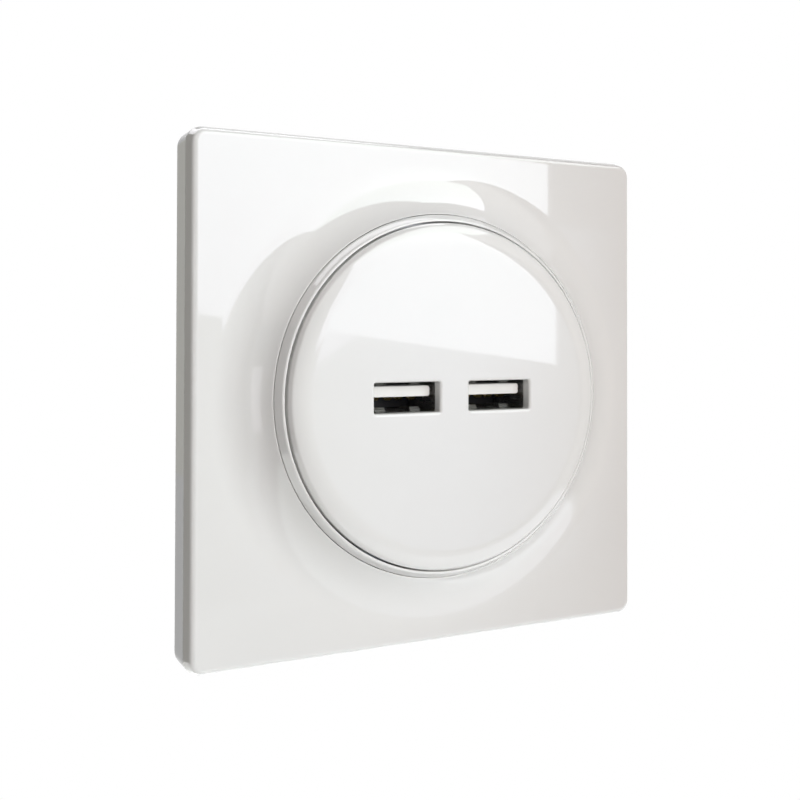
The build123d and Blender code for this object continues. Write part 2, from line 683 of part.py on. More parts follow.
def terminal_screw(x):
    head = disc(x, TERMINAL_Y, TERMINAL_HEAD_R, BODY_BACK, HEAD_FRONT)
    head = chamfer(head.faces().sort_by(Axis.Z)[0].edges(), TERMINAL_HEAD_T / 4)
    shank = disc(x, TERMINAL_Y, TERMINAL_SCREW_R, HEAD_FRONT, BAR_BACK - SEAT)
    return head + shank - cross_recess(x, TERMINAL_Y, BODY_BACK)


# Circuit board and its parts


def main_board():
    middle = (BOARD_TOP + BOARD_BOTTOM) / 2
    board = block(0, middle, BOARD_W, BOARD_T, BOARD_BACK, BOARD_FRONT)
    for x in PORTS.values():
        tail_level = SHELL_BACK - SLIP - CONTACT_T / 2
        for offset in CONTACT_OFFSETS:
            hole_front = tail_level + CONTACT_T / 2 + SEAT
            hole_w = CONTACT_W + 2 * SEAT
            board -= block(x + offset, middle, hole_w, BOARD_T, tail_level - CONTACT_T / 2 - SEAT, hole_front)
        for leg_x in shell_leg_places(x):
            reach = SHELL_LEG_W / 2 + SEAT
            slot_back = SHELL_LEG_LEVEL - reach
            board -= block(leg_x, middle, SHEET + 2 * SEAT, BOARD_T, slot_back, SHELL_LEG_LEVEL + reach)
    for x in TERMINALS.values():
        board -= block(x, middle, BAR_TAB_W + 2 * SEAT, BOARD_T, BAR_BACK - SEAT, BAR_FRONT + SEAT)
    return board


def coil_middle():
    return BOARD_TOP + BOBBIN_FOOT_H + COIL_H / 2


def coil_ends():
    """Back and front of the coil, between the yokes of the core."""
    return CORE_BACK + CORE_YOKE_L + SLIP, CORE_FRONT - CORE_YOKE_L - SLIP


def transformer_core():
    y = coil_middle()
    core = block(0, y, CORE_W, CORE_T, CORE_BACK, CORE_FRONT)
    window_w = (CORE_W - 2 * CORE_LEG_W - CORE_MIDDLE_W) / 2
    for side in (-1, 1):
        x = side * (CORE_MIDDLE_W + window_w) / 2
        core -= block(x, y, window_w, CORE_T, CORE_BACK + CORE_YOKE_L, CORE_FRONT - CORE_YOKE_L)
    return core


def bobbin_tube_size():
    return CORE_MIDDLE_W + 2 * (SLIP + BOBBIN_T), CORE_T + 2 * (SLIP + BOBBIN_T)


def transformer_bobbin():
    y = coil_middle()
    back, front = coil_ends()
    tube_w, tube_h = bobbin_tube_size()
    bobbin = block(0, y, tube_w, tube_h, back, front)
    for low, high in ((back, back + BOBBIN_FLANGE_T), (front - BOBBIN_FLANGE_T, front)):
        foot_y = BOARD_TOP + BOBBIN_FOOT_H / 2
        bobbin += rounded_block(0, y, COIL_W, COIL_H, BOBBIN_FLANGE_T, low, high)
        bobbin += block(0, foot_y, COIL_W, BOBBIN_FOOT_H, low, high)
    return bobbin - block(0, y, CORE_MIDDLE_W + 2 * SLIP, CORE_T + 2 * SLIP, back, front)


def transformer_winding():
    y = coil_middle()
    back, front = coil_ends()
    tube_w, tube_h = bobbin_tube_size()
    low = back + BOBBIN_FLANGE_T
    high = front - BOBBIN_FLANGE_T
    corner = COIL_W / 4
    coil = rounded_block(0, y, COIL_W - BOBBIN_T, COIL_H - BOBBIN_T, corner, low, high)
    return coil - block(0, y, tube_w, tube_h, low, high)


def capacitor_can(radius, length):
    """Electrolytic can along z with bevelled ends and the crimped groove near its base."""
    outline = Polyline(
        (0, 0),
        (radius - CAN_CHAMFER, 0),
        (radius, CAN_CHAMFER),
        (radius, CAN_GROOVE_UP - CAN_GROOVE),
        (radius - CAN_GROOVE, CAN_GROOVE_UP),
        (radius, CAN_GROOVE_UP + CAN_GROOVE),
        (radius, length - CAN_CHAMFER),
        (radius - CAN_CHAMFER, length),
        (0, length),
        close=True,
    )
    return turned(outline)


def bulk_capacitors():
    y = BOARD_TOP + BULK_CAP_R
    can = capacitor_can(BULK_CAP_R, BULK_CAP_FRONT - BULK_CAP_BACK)
    return Compound(children=[Pos(x, y, BULK_CAP_BACK) * can for x in (-BULK_CAP_X, BULK_CAP_X)])


def output_capacitors():
    can = Pos(0, BOARD_TOP, SMALL_PARTS_LEVEL) * Rot(-90, 0, 0) * capacitor_can(OUTPUT_CAP_R, OUTPUT_CAP_L)
    return Compound(children=[Pos(x, 0, 0) * can for x in (-OUTPUT_CAP_X, OUTPUT_CAP_X)])


def fuse():
    y = BOARD_BOTTOM - FUSE_R - FUSE_CAP_T
    back = BOARD_BACK + BOARD_MARGIN
    body = disc(0, y, FUSE_R, back, back + FUSE_L)
    for low, high in ((back, back + FUSE_CAP_L), (back + FUSE_L - FUSE_CAP_L, back + FUSE_L)):
        body += disc(0, y, FUSE_R + FUSE_CAP_T, low, high)
    return body


def input_choke():
    z = CAGE_FRONT + CHOKE_GAP + CHOKE_R
    low = BOARD_BOTTOM - CHOKE_L
    drum = standing(CHOKE_X, z, CHOKE_R - CHOKE_WAIST, low, BOARD_BOTTOM)
    drum += standing(CHOKE_X, z, CHOKE_R, low, low + CHOKE_FLANGE_T)
    return drum + standing(CHOKE_X, z, CHOKE_R, BOARD_BOTTOM - CHOKE_FLANGE_T, BOARD_BOTTOM)


def safety_capacitor():
    y = BOARD_BOTTOM - DISC_CAP_R
    back = SMALL_PARTS_LEVEL - DISC_CAP_T / 2
    pill = disc(-OUTPUT_CAP_X, y, DISC_CAP_R, back, back + DISC_CAP_T)
    return chamfer(pill.edges().filter_by(GeomType.CIRCLE), DISC_CAP_T / 3)


def leaded_chip(x, z, size, under):
    """Small package on the board: legs along both long sides, on the top or the underside."""
    width, length, height = size
    side = -1 if under else 1
    face = BOARD_BOTTOM if under else BOARD_TOP
    package = block(x, face + side * (CHIP_GAP + height / 2), width, height, z - length / 2, z + length / 2)
    for leg in range(CHIP_LEGS):
        leg_z = z + (leg - (CHIP_LEGS - 1) / 2) * CHIP_PITCH
        reach = width + 2 * CHIP_LEG_REACH
        leg_back = leg_z - CHIP_LEG_W / 2
        leg_front = leg_z + CHIP_LEG_W / 2
        thick = CHIP_GAP + CHIP_LEG_T
        package += block(x, face + side * thick / 2, reach, thick, leg_back, leg_front)
    return package


def stand_up(shape):
    """Turn a piece from the wall's plane to the part's frame."""
    return Plane.XZ.location * shape


PIECES = {
    "cover_plate": cover_plate(),
    "bezel_ring": bezel_ring(),
    "face_cover": face_cover(),
    "support_frame": support_frame(),
    "front_housing": front_housing(),
    "rear_housing": rear_housing(),
    "housing_screws": housing_screws(),
    "main_board": main_board(),
    "transformer_core": transformer_core(),
    "transformer_bobbin": transformer_bobbin(),
    "transformer_winding": transformer_winding(),
    "bulk_capacitors": bulk_capacitors(),
    "output_capacitors": output_capacitors(),
    "fuse": fuse(),
    "input_choke": input_choke(),
    "safety_capacitor": safety_capacitor(),
    "bridge_rectifier": leaded_chip(OUTPUT_CAP_X, SMALL_PARTS_LEVEL, BRIDGE_SIZE, under=True),
    "control_chip": leaded_chip(0, SMALL_PARTS_LEVEL, CONTROL_CHIP_SIZE, under=True),
    "optocoupler": leaded_chip(0, SMALL_PARTS_LEVEL, OPTOCOUPLER_SIZE, under=False),
    "output_rectifier": leaded_chip(PORTS["left"], SHELL_LEG_LEVEL, RECTIFIER_SIZE, under=True),
}
for side, x in PORTS.items():
    PIECES["usb_shell_" + side] = usb_shell(x)
    PIECES["usb_base_" + side] = usb_base(x)
    PIECES["usb_tongue_" + side] = usb_tongue(x)
    PIECES["usb_contacts_" + side] = usb_contacts(x)
for pole, x in TERMINALS.items():
    PIECES["contact_bar_" + pole] = contact_bar(x)
    PIECES["terminal_clamp_" + pole] = terminal_clamp(x)
    PIECES["terminal_screw_" + pole] = terminal_screw(x)

os.makedirs("parts", exist_ok=True)
for name, piece in PIECES.items():
    export_step(stand_up(piece), f"parts/{name}.step")
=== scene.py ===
"""Looks of a flush wall socket with two USB-A outlets, laid out as a Blender add-on and run as a script."""

import json
import math
from collections import namedtuple

import bmesh
import bpy
from bpy.props import FloatProperty, FloatVectorProperty, IntProperty, PointerProperty
from mathutils import Matrix, Vector


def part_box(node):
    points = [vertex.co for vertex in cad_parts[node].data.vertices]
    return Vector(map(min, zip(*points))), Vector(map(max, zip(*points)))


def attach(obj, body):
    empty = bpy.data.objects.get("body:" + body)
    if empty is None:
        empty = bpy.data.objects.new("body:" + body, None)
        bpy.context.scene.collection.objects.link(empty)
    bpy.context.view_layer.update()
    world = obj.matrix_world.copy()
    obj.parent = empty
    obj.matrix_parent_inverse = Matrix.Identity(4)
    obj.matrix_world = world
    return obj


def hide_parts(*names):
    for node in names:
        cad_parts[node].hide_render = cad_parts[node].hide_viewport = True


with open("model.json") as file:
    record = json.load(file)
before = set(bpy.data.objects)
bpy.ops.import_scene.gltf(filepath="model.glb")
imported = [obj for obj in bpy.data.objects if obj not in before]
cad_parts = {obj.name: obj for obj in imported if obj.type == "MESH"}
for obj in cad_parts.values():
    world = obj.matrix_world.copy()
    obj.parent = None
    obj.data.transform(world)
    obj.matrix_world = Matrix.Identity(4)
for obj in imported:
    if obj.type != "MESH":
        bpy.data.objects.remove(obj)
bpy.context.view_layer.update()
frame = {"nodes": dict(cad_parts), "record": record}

bl_info = {
    "name": "USB Wall Socket",
    "version": (1, 0, 0),
    "blender": (4, 5, 0),
    "location": "3D View > Sidebar > Wall Socket",
    "description": "Dresses the packed wall socket: mouldings, metal, materials and the studio stage",
    "category": "Object",
}

MM = 0.001
WELD = 1e-6
BODY = "socket"
SIDES = ("left", "right")
POLES = ("live", "neutral")
PLATE_SIDES = 4
QUARTER = math.pi / 2

# How finely the mouldings are divided
SIDE_POINTS = 96
CORNER_POINTS = 12
TURN_POINTS = 288
FLARE_STEPS = 28
EDGE_STEPS = 10
SMALL_STEPS = 4
MOUTH_CORNER_STEPS = 8
BOW_STEPS = 14

# Small rounded edges that every moulding has, and the width of the loops that support them
LIP_ROUND = 0.07 * MM
RIM_ROUND = 0.25 * MM
INSIDE_ROUND = 0.5 * MM
SUPPORT = 0.12 * MM

# Bends past the sharp angle are edges, and bends below the flat angle are no edges at all
SHARP_ANGLE = math.radians(35)
FLAT_ANGLE = math.radians(0.5)

# Profile of a softened edge that makes it round
ROUND_PROFILE = 0.5

# Where the snap legs start round the axis, and how deep the face's legs are rooted in its wall
RING_LEGS_START = math.pi / 4
FACE_LEGS_START = 0.0
FACE_LEG_ROOT = 3 / 4

# Leaf contacts: how far the bow's crest lies towards the tip, and softening as a share of the thickness
BOW_SKEW = 1.6
LEAF_SOFTENING = 1 / 8


def span(node_name):
    """Size of a CAD node's box along each axis, in metres."""
    low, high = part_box(node_name)
    return high - low


def centre(node_name):
    low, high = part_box(node_name)
    return (low + high) / 2


def front_of(node_name):
    """How far a CAD node stands out of the wall."""
    return -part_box(node_name)[0].y


def back_of(node_name):
    """How far the back of a CAD node lies in front of the wall."""
    return -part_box(node_name)[1].y


def size(name, description, metres):
    return FloatProperty(name=name, description=description, default=metres, unit="LENGTH", precision=5)


def level(name, description, strength):
    return FloatProperty(name=name, description=description, default=strength, min=0)


def angle(name, description, degrees):
    return FloatProperty(name=name, description=description, default=math.radians(degrees), subtype="ANGLE")


def tint(material):
    """Colour of one of the record's materials."""
    return FloatVectorProperty(
        name=material["slot"].replace("_", " ").capitalize(),
        description=material["finish"].capitalize(),
        default=material["base_color"],
        size=3,
        min=0,
        max=1,
        subtype="COLOR",
    )


# Sizes, colours and lights that a user would change


class PlateSizes(bpy.types.PropertyGroup):
    side: size("Side", "Width and height of the square plate", span("cover_plate").x)
    depth: size("Depth", "From the wall to the flat of the plate", 7.6 * MM)
    wall: size("Wall", "Thickness of the moulding", 2 * MM)
    corner: size("Corner", "Radius of the four upright corners", 2.8 * MM)
    edge: size("Edge", "Radius of the rounded front edge", 1.1 * MM)
    bevel_run: size("Bevel run", "How far the bevel behind the rounded edge leans inwards", 0.52 * MM)
    bevel_depth: size("Bevel depth", "Depth of the bevel behind the rounded edge", 1.43 * MM)
    foot: size("Flare foot", "Radius at which the flat starts to rise", 40.6 * MM)
    lip_front: size("Lip", "How far the lip of the flare stands out of the wall", front_of("cover_plate"))
    seam: size("Seam", "Gap between the lip and the ring", 0.12 * MM)
    ledge_front: size("Ledge", "Level of the ledge that carries the ring", 8.3 * MM)
    ledge_reach: size("Ledge reach", "How far the ledge reaches inwards", 1.9 * MM)
    ledge_thickness: size("Ledge thickness", "Thickness of the ledge", 1.4 * MM)
    rib_thickness: size("Rib thickness", "Thickness of a stiffening rib", 1 * MM)
    rib_offset: size("Rib offset", "Distance of a rib from the middle of its side", 18 * MM)
    rib_depth: size("Rib depth", "How far a rib stands off the inside of the plate", 3.2 * MM)


class RingSizes(bpy.types.PropertyGroup):
    radius: size("Radius", "Outer radius of the ring", span("bezel_ring").x / 2)
    band: size("Band", "Width of the visible sloping band", 1.25 * MM)
    crown: size("Crown", "Radius of the rounding along the band's inner edge", 0.48 * MM)
    front: size("Front", "Level of the band's inner edge", front_of("bezel_ring"))
    back: size("Back", "Level at which the ring sits on the plate's ledge", 8.4 * MM)
    flange: size("Flange", "Thickness of the hidden flange", 1.2 * MM)
    flange_radius: size("Flange radius", "Inner radius of the hidden flange", 26 * MM)
    leg_radius: size("Leg radius", "Distance of the snap legs from the axis", 26.15 * MM)


class FaceSizes(bpy.types.PropertyGroup):
    radius: size("Radius", "Outer radius of the round face", span("face_cover").x / 2)
    front: size("Front", "Level of the flat of the face", front_of("face_cover"))
    wall: size("Wall", "Thickness of the face", 2 * MM)
    skirt: size("Skirt", "Thickness of the skirt", 1.8 * MM)
    skirt_back: size("Skirt back", "Level of the skirt's rear edge", 9.75 * MM)
    edge_run: size("Edge run", "Width of the rounded edge", 3.75 * MM)
    edge_drop: size("Edge drop", "Depth of the rounded edge", 1.5 * MM)
    chamfer_run: size("Chamfer run", "Width of the chamfer along the rim", 0.58 * MM)
    chamfer_drop: size("Chamfer drop", "Depth of the chamfer along the rim", 0.75 * MM)
    crease: size("Crease", "Reach of the soft bend between rounding and chamfer", 0.25 * MM)
    mouth_width: size("Mouth width", "Width of a USB mouth", 12.2 * MM)
    mouth_height: size("Mouth height", "Height of a USB mouth", 5.1 * MM)
    mouth_corner: size("Mouth corner", "Corner radius of a USB mouth", 0.3 * MM)
    mouth_rim: size("Mouth rim", "Radius of the rounded rim of a USB mouth", 0.5 * MM)
    leg_radius: size("Leg radius", "Distance of the snap legs from the axis", 24.55 * MM)


class LegSizes(bpy.types.PropertyGroup):
    width: size("Width", "Width of a snap leg", 6 * MM)
    thickness: size("Thickness", "Thickness of a snap leg", 1.1 * MM)
    nib: size("Nib", "How far the nib stands out", 0.7 * MM)
    nib_height: size("Nib height", "Height of the wedge-shaped nib", 1.2 * MM)
    count: IntProperty(name="Count", description="Legs on each piece", default=4, min=1)


class ContactSizes(bpy.types.PropertyGroup):
    width: size("Width", "Width of a leaf contact", 1 * MM)
    thickness: size("Thickness", "Thickness of a leaf contact", 0.25 * MM)
    bow: size("Bow", "How far the leaf bows into the mouth", 0.65 * MM)
    bow_length: size("Bow length", "Length of the bowed end", 3.4 * MM)
    inner_pitch: size("Inner pitch", "Distance between the two middle contacts", 2 * MM)
    outer_pitch: size("Outer pitch", "Distance between the two outer contacts", 7 * MM)


class SpringSizes(bpy.types.PropertyGroup):
    width: size("Width", "Width of a shell's spring tab", 1.9 * MM)
    offset: size("Offset", "Distance of a spring tab from the middle of its mouth", 3.3 * MM)
    setback: size("Setback", "How far a spring tab starts behind the shell's front", 1.5 * MM)
    sheet: size("Sheet", "Thickness of the shell", 0.3 * MM)
    ramp: size("Ramp", "Depth of the ramp that leads a plug in", 0.8 * MM)
    rise: size("Rise", "How far the ramp stands into the mouth", 0.7 * MM)
    length: size("Length", "Length of the raised end of a spring tab", 3 * MM)
    tongue_reach: size("Tongue reach", "How far the tongue reaches past its CAD front", 0.8 * MM)


class BeadSizes(bpy.types.PropertyGroup):
    radius: size("Radius", "Distance of the frame's pressed beads from the axis", 37 * MM)
    depth: size("Depth", "Depth of a bead", 0.5 * MM)
    slope: size("Slope", "How far the sides of a bead lean inwards", 0.45 * MM)


class FinishColours(bpy.types.PropertyGroup):
    __annotations__ = {material["slot"]: tint(material) for material in frame["record"]["materials"]}


class StageSettings(bpy.types.PropertyGroup):
    camera_place: FloatVectorProperty(
        name="Camera",
        description="Where the camera stands",
        default=(-0.0869, -0.16801, 0.01135),
        unit="LENGTH",
    )
    camera_yaw: angle("Yaw", "Turn of the camera to the right", 26.578)
    camera_pitch: angle("Pitch", "Tilt of the camera upwards", 0.838)
    camera_roll: angle("Roll", "Turn of the camera about its own axis", 0.136)
    camera_lens: FloatProperty(name="Lens", description="Focal length on a 36 mm sensor", default=46.42)
    camera_shift: FloatProperty(name="Shift", description="Upward shift of the frame", default=-0.107)
    floor: size("Floor", "Level of the floor below the socket's middle", 0.4)
    ambient: level("Ambient", "Light from all around on matt surfaces", 0.01)
    lamps: level("Lamps", "Strength of the lamps", 1.0)
    panels: level("Panels", "Strength of the panels that glossy surfaces mirror", 1.0)


SETTINGS = {
    "plate": PlateSizes,
    "ring": RingSizes,
    "face": FaceSizes,
    "leg": LegSizes,
    "contact": ContactSizes,
    "spring": SpringSizes,
    "bead": BeadSizes,
    "colours": FinishColours,
    "stage": StageSettings,
}


class SocketSettings(bpy.types.PropertyGroup):
    __annotations__ = {name: PointerProperty(type=group) for name, group in SETTINGS.items()}


# Node trees

MADE = {}
FLOAT = "NodeSocketFloat"
COLOUR = "NodeSocketColor"
GEOMETRY = "NodeSocketGeometry"
MATERIAL = "NodeSocketMaterial"
WHOLE = "NodeSocketInt"


def made_once(make):
    """Node tree or material that is built when it is first asked for."""
    if make.__name__ not in MADE:
        MADE[make.__name__] = make()
    return MADE[make.__name__]


def node(tree, kind, inputs=None, **options):
    """Add a node, set its options, link or set its inputs by name or place, and return its outputs."""
    made = tree.nodes.new(kind)
    for key, value in options.items():
        setattr(made, key, value)
    for key, value in (inputs or {}).items():
        if isinstance(value, bpy.types.NodeSocket):
            tree.links.new(value, made.inputs[key])
        else:
            made.inputs[key].default_value = value
    return made.outputs


def maths(tree, operation, *values):
    """Output of a Math node on numbers and outputs."""
    return node(tree, "ShaderNodeMath", dict(enumerate(values)), operation=operation)[0]


def new_group(name, kind, inputs, outputs):
    """Node group with named sockets; returns it with what it is given and what it hands on."""
    group = bpy.data.node_groups.new(name, kind)
    for socket_name, socket_type, value in inputs:
        socket = group.interface.new_socket(socket_name, in_out="INPUT", socket_type=socket_type)
        if value is not None:
            socket.default_value = value
    for socket_name, socket_type in outputs:
        group.interface.new_socket(socket_name, in_out="OUTPUT", socket_type=socket_type)
    return group, group.nodes.new("NodeGroupInput").outputs, group.nodes.new("NodeGroupOutput").inputs


def shape_tree(name, inputs):
    sockets = [("Geometry", GEOMETRY, None), *inputs, ("Material", MATERIAL, None)]
    return new_group(name, "GeometryNodeTree", sockets, [("Geometry", GEOMETRY)])


def end_shape(tree, given, result, geometry):
    """Close a shape tree: real geometry with its material."""
    real = node(tree, "GeometryNodeRealizeInstances", {"Geometry": geometry})
    painted = node(tree, "GeometryNodeSetMaterial", {"Geometry": real[0], "Material": given["Material"]})
    tree.links.new(painted[0], result["Geometry"])
    return tree


def turned_profile_tree():
    """Outline in radius and level, swept once round the socket's axis."""
    sockets = [("Radius", FLOAT, 10 * MM), ("Points", WHOLE, TURN_POINTS)]
    tree, given, result = shape_tree("Turned profile", sockets)
    outline = node(tree, "GeometryNodeMeshToCurve", {"Mesh": given["Geometry"]})
    circle_inputs = {"Resolution": given["Points"], "Radius": given["Radius"]}
    circle = node(tree, "GeometryNodeCurvePrimitiveCircle", circle_inputs)
    swept = node(tree, "GeometryNodeCurveToMesh", {"Curve": circle[0], "Profile Curve": outline[0]})
    upright = node(tree, "GeometryNodeTransform", {"Geometry": swept[0], "Rotation": (-QUARTER, 0, 0)})
    return end_shape(tree, given, result, upright[0])


def copies_round_axis_tree():
    """Copies of a piece, evenly spaced round the socket's axis."""
    sockets = [("Count", WHOLE, 1), ("Start", FLOAT, 0.0)]
    tree, given, result = shape_tree("Copies round the axis", sockets)
    points = node(tree, "GeometryNodePoints", {"Count": given["Count"]})
    index = node(tree, "GeometryNodeInputIndex")
    share = maths(tree, "DIVIDE", index[0], given["Count"])
    turn = maths(tree, "MULTIPLY_ADD", share, 2 * math.pi, given["Start"])
    rotation = node(tree, "ShaderNodeCombineXYZ", {"Y": turn})
    copy_inputs = {"Points": points[0], "Instance": given["Geometry"], "Rotation": rotation[0]}
    copies = node(tree, "GeometryNodeInstanceOnPoints", copy_inputs)
    return end_shape(tree, given, result, copies[0])


def contact_row_tree():
    """Two pairs of copies side by side, each pair about the middle."""
    sockets = [("Inner Pitch", FLOAT, 2 * MM), ("Outer Pitch", FLOAT, 7 * MM)]
    tree, given, result = shape_tree("Contact row", sockets)
    places = tree.nodes.new("GeometryNodeJoinGeometry")
    for pitch, _, _ in sockets:
        first = node(tree, "ShaderNodeCombineXYZ", {"X": maths(tree, "MULTIPLY", given[pitch], -1 / 2)})
        step = node(tree, "ShaderNodeCombineXYZ", {"X": given[pitch]})
        pair_inputs = {"Count": 2, "Start Location": first[0], "Offset": step[0]}
        pair = node(tree, "GeometryNodeMeshLine", pair_inputs)
        tree.links.new(pair[0], places.inputs[0])
    copy_inputs = {"Points": places.outputs[0], "Instance": given["Geometry"]}
    copies = node(tree, "GeometryNodeInstanceOnPoints", copy_inputs)
    return end_shape(tree, given, result, copies[0])


def through_nodes(mesh, tree, values):
    """Plain mesh that a shape tree makes of a mesh, with the tree's inputs set by their names."""
    worker = bpy.data.objects.new("worker", mesh)
    bpy.context.scene.collection.objects.link(worker)
    modifier = worker.modifiers.new("Shape", "NODES")
    modifier.node_group = tree
    for item in tree.interface.items_tree:
        if item.in_out == "INPUT" and item.name in values:
            modifier[item.identifier] = values[item.name]
    made = bpy.data.meshes.new_from_object(worker.evaluated_get(bpy.context.evaluated_depsgraph_get()))
    bpy.data.objects.remove(worker)
    bpy.data.meshes.remove(mesh)
    return made


# Materials

# Noises that the finishes are made of
Noise = namedtuple("Noise", "detail roughness")
DRIFT = Noise(3.0, 0.55)
SMEAR = Noise(5.0, 0.65)
GRAIN = Noise(2.0, 0.6)
SWELL = Noise(1.0, 0.5)
SCRATCH = Noise(2.0, 0.5)

# Part of a noise that is used, from low to high
DRIFT_RANGE = (0.3, 0.7)
SCRATCH_RANGE = (0.58, 0.7)

# Turns of the two sets of scratches, coarseness of the swell, and how far a second noise lies from the first
SCRATCH_TURNS = (0.35, 1.9)
SWELL_SCALE = 0.2
NOISE_SHIFT = (0.37, 0.11, 0.23)


def place_on(tree):
    """Place on the piece, in the part's frame."""
    return node(tree, "ShaderNodeTexCoord")["Object"]


def aside(tree, place):
    """Place moved aside, so that a second noise doesn't follow the first."""
    return node(tree, "ShaderNodeMapping", {"Vector": place, "Location": NOISE_SHIFT})[0]


def noise(tree, place, scale, kind):
    """Noise over the surface, from 0 to 1."""
    noise_inputs = {"Vector": place, "Scale": scale, "Detail": kind.detail, "Roughness": kind.roughness}
    return node(tree, "ShaderNodeTexNoise", noise_inputs)["Fac"]


def stretched(tree, value, limits, low=0.0):
    """Value between two limits, spread from a low value up to 1."""
    start, end = limits
    range_inputs = {"Value": value, "From Min": start, "From Max": end, "To Min": low, "To Max": 1.0}
    return node(tree, "ShaderNodeMapRange", range_inputs)[0]


def moulded_tone_group():
    """Faint drift of colour and gloss over a moulded or plated surface."""
    sockets = [
        ("Colour", COLOUR, (0.8, 0.8, 0.8, 1)),
        ("Shade", FLOAT, 0.02),
        ("Roughness", FLOAT, 0.3),
        ("Spread", FLOAT, 0.05),
        ("Patch", FLOAT, 12 * MM),
    ]
    results = [("Colour", COLOUR), ("Roughness", FLOAT)]
    group, given, result = new_group("Moulded tone", "ShaderNodeTree", sockets, results)
    place = place_on(group)
    scale = maths(group, "DIVIDE", 1.0, given["Patch"])
    darkest = maths(group, "SUBTRACT", 1.0, given["Shade"])
    tone = stretched(group, noise(group, place, scale, DRIFT), DRIFT_RANGE, darkest)
    colour = node(group, "ShaderNodeVectorMath", {0: given["Colour"], "Scale": tone}, operation="SCALE")
    smear = noise(group, aside(group, place), scale, SMEAR)
    rough = maths(group, "MULTIPLY_ADD", smear, given["Spread"], given["Roughness"])
    group.links.new(colour[0], result["Colour"])
    group.links.new(rough, result["Roughness"])
    return group


def surface_grain_group():
    """Height of a fine moulded or sintered grain, with a slower swell under it."""
    sockets = [("Grain", FLOAT, 0.6 * MM), ("Swell", FLOAT, 0.3)]
    group, given, result = new_group("Surface grain", "ShaderNodeTree", sockets, [("Height", FLOAT)])
    place = place_on(group)
    scale = maths(group, "DIVIDE", 1.0, given["Grain"])
    fine = noise(group, place, scale, GRAIN)
    slow = noise(group, aside(group, place), maths(group, "MULTIPLY", scale, SWELL_SCALE), SWELL)
    height = maths(group, "MULTIPLY_ADD", slow, given["Swell"], fine)
    group.links.new(height, result["Height"])
    return group


def fine_scratches_group():
    """Mask of thin rolling and handling marks in two directions."""
    sockets = [("Length", FLOAT, 12 * MM), ("Thin", FLOAT, 40.0)]
    group, given, result = new_group("Fine scratches", "ShaderNodeTree", sockets, [("Mask", FLOAT)])
    place = place_on(group)
    scale = maths(group, "DIVIDE", 1.0, given["Length"])
    thin = node(group, "ShaderNodeCombineXYZ", {"X": 1.0, "Y": given["Thin"], "Z": given["Thin"]})
    marks = []
    for turn in SCRATCH_TURNS:
        turn_inputs = {"Vector": place, "Rotation": (turn / 2, turn, turn), "Scale": thin[0]}
        turned = node(group, "ShaderNodeMapping", turn_inputs)
        marks.append(stretched(group, noise(group, turned[0], scale, SCRATCH), SCRATCH_RANGE))
    group.links.new(maths(group, "MAXIMUM", *marks), result["Mask"])
    return group


FINISH_END = "_finish"
Moulding = namedtuple("Moulding", "roughness spread shade patch grain swell relief ior")
Plating = namedtuple("Plating", "roughness spread shade patch scratch marks relief")

# Moulded finishes: roughness and its spread, darkening, patch and grain sizes, swell, relief, refraction
MOULDINGS = {
    "gloss_white": Moulding(0.02, 0.02, 0.012, 14 * MM, 20 * MM, 0.3, 0.004 * MM, 1.65),
    "tongue_white": Moulding(0.28, 0.1, 0.05, 3 * MM, 0.5 * MM, 0.4, 0.01 * MM, 1.5),
    "housing_white": Moulding(0.38, 0.12, 0.06, 8 * MM, 0.35 * MM, 0.5, 0.02 * MM, 1.5),
    "case_dark": Moulding(0.42, 0.16, 0.18, 9 * MM, 0.4 * MM, 0.6, 0.035 * MM, 1.5),
    "insulator_black": Moulding(0.4, 0.12, 0.12, 3 * MM, 0.3 * MM, 0.5, 0.015 * MM, 1.5),
    "board_green": Moulding(0.25, 0.15, 0.25, 4 * MM, 0.7 * MM, 0.8, 0.02 * MM, 1.52),
    "ferrite": Moulding(0.6, 0.2, 0.3, 2 * MM, 0.2 * MM, 0.8, 0.03 * MM, 1.6),
    "bobbin_black": Moulding(0.42, 0.15, 0.15, 3 * MM, 0.4 * MM, 0.4, 0.015 * MM, 1.5),
    "winding_tape": Moulding(0.22, 0.15, 0.15, 3 * MM, 1.2 * MM, 1.2, 0.04 * MM, 1.55),
    "can_sleeve": Moulding(0.26, 0.12, 0.15, 3 * MM, 1.0 * MM, 0.8, 0.02 * MM, 1.52),
    "fuse_body": Moulding(0.35, 0.2, 0.2, 2 * MM, 0.4 * MM, 0.6, 0.02 * MM, 1.55),
    "disc_blue": Moulding(0.2, 0.12, 0.2, 2 * MM, 1.5 * MM, 1.0, 0.05 * MM, 1.5),
    "chip_black": Moulding(0.5, 0.15, 0.2, 2 * MM, 0.25 * MM, 0.4, 0.02 * MM, 1.5),
}

# Plated and bare metal: roughness and its spread, darkening, patch size, scratch length, weight and relief
PLATINGS = {
    "zinc_steel": Plating(0.26, 0.2, 0.22, 4 * MM, 14 * MM, 0.22, 0.004 * MM),
    "usb_steel": Plating(0.18, 0.14, 0.15, 2 * MM, 5 * MM, 0.2, 0.003 * MM),
    "screw_steel": Plating(0.24, 0.18, 0.2, 2 * MM, 4 * MM, 0.25, 0.004 * MM),
    "clamp_steel": Plating(0.32, 0.2, 0.25, 2 * MM, 5 * MM, 0.25, 0.006 * MM),
    "contact_gold": Plating(0.16, 0.1, 0.12, 1 * MM, 3 * MM, 0.15, 0.002 * MM),
    "terminal_brass": Plating(0.28, 0.18, 0.25, 3 * MM, 6 * MM, 0.25, 0.005 * MM),
}


def new_material(name):
    material = bpy.data.materials.new(name)
    material.use_nodes = True
    material.node_tree.nodes.clear()
    return material, material.node_tree


def end_material(tree, shader):
    output = tree.nodes.new("ShaderNodeOutputMaterial")
    tree.links.new(shader[0], output.inputs["Surface"])


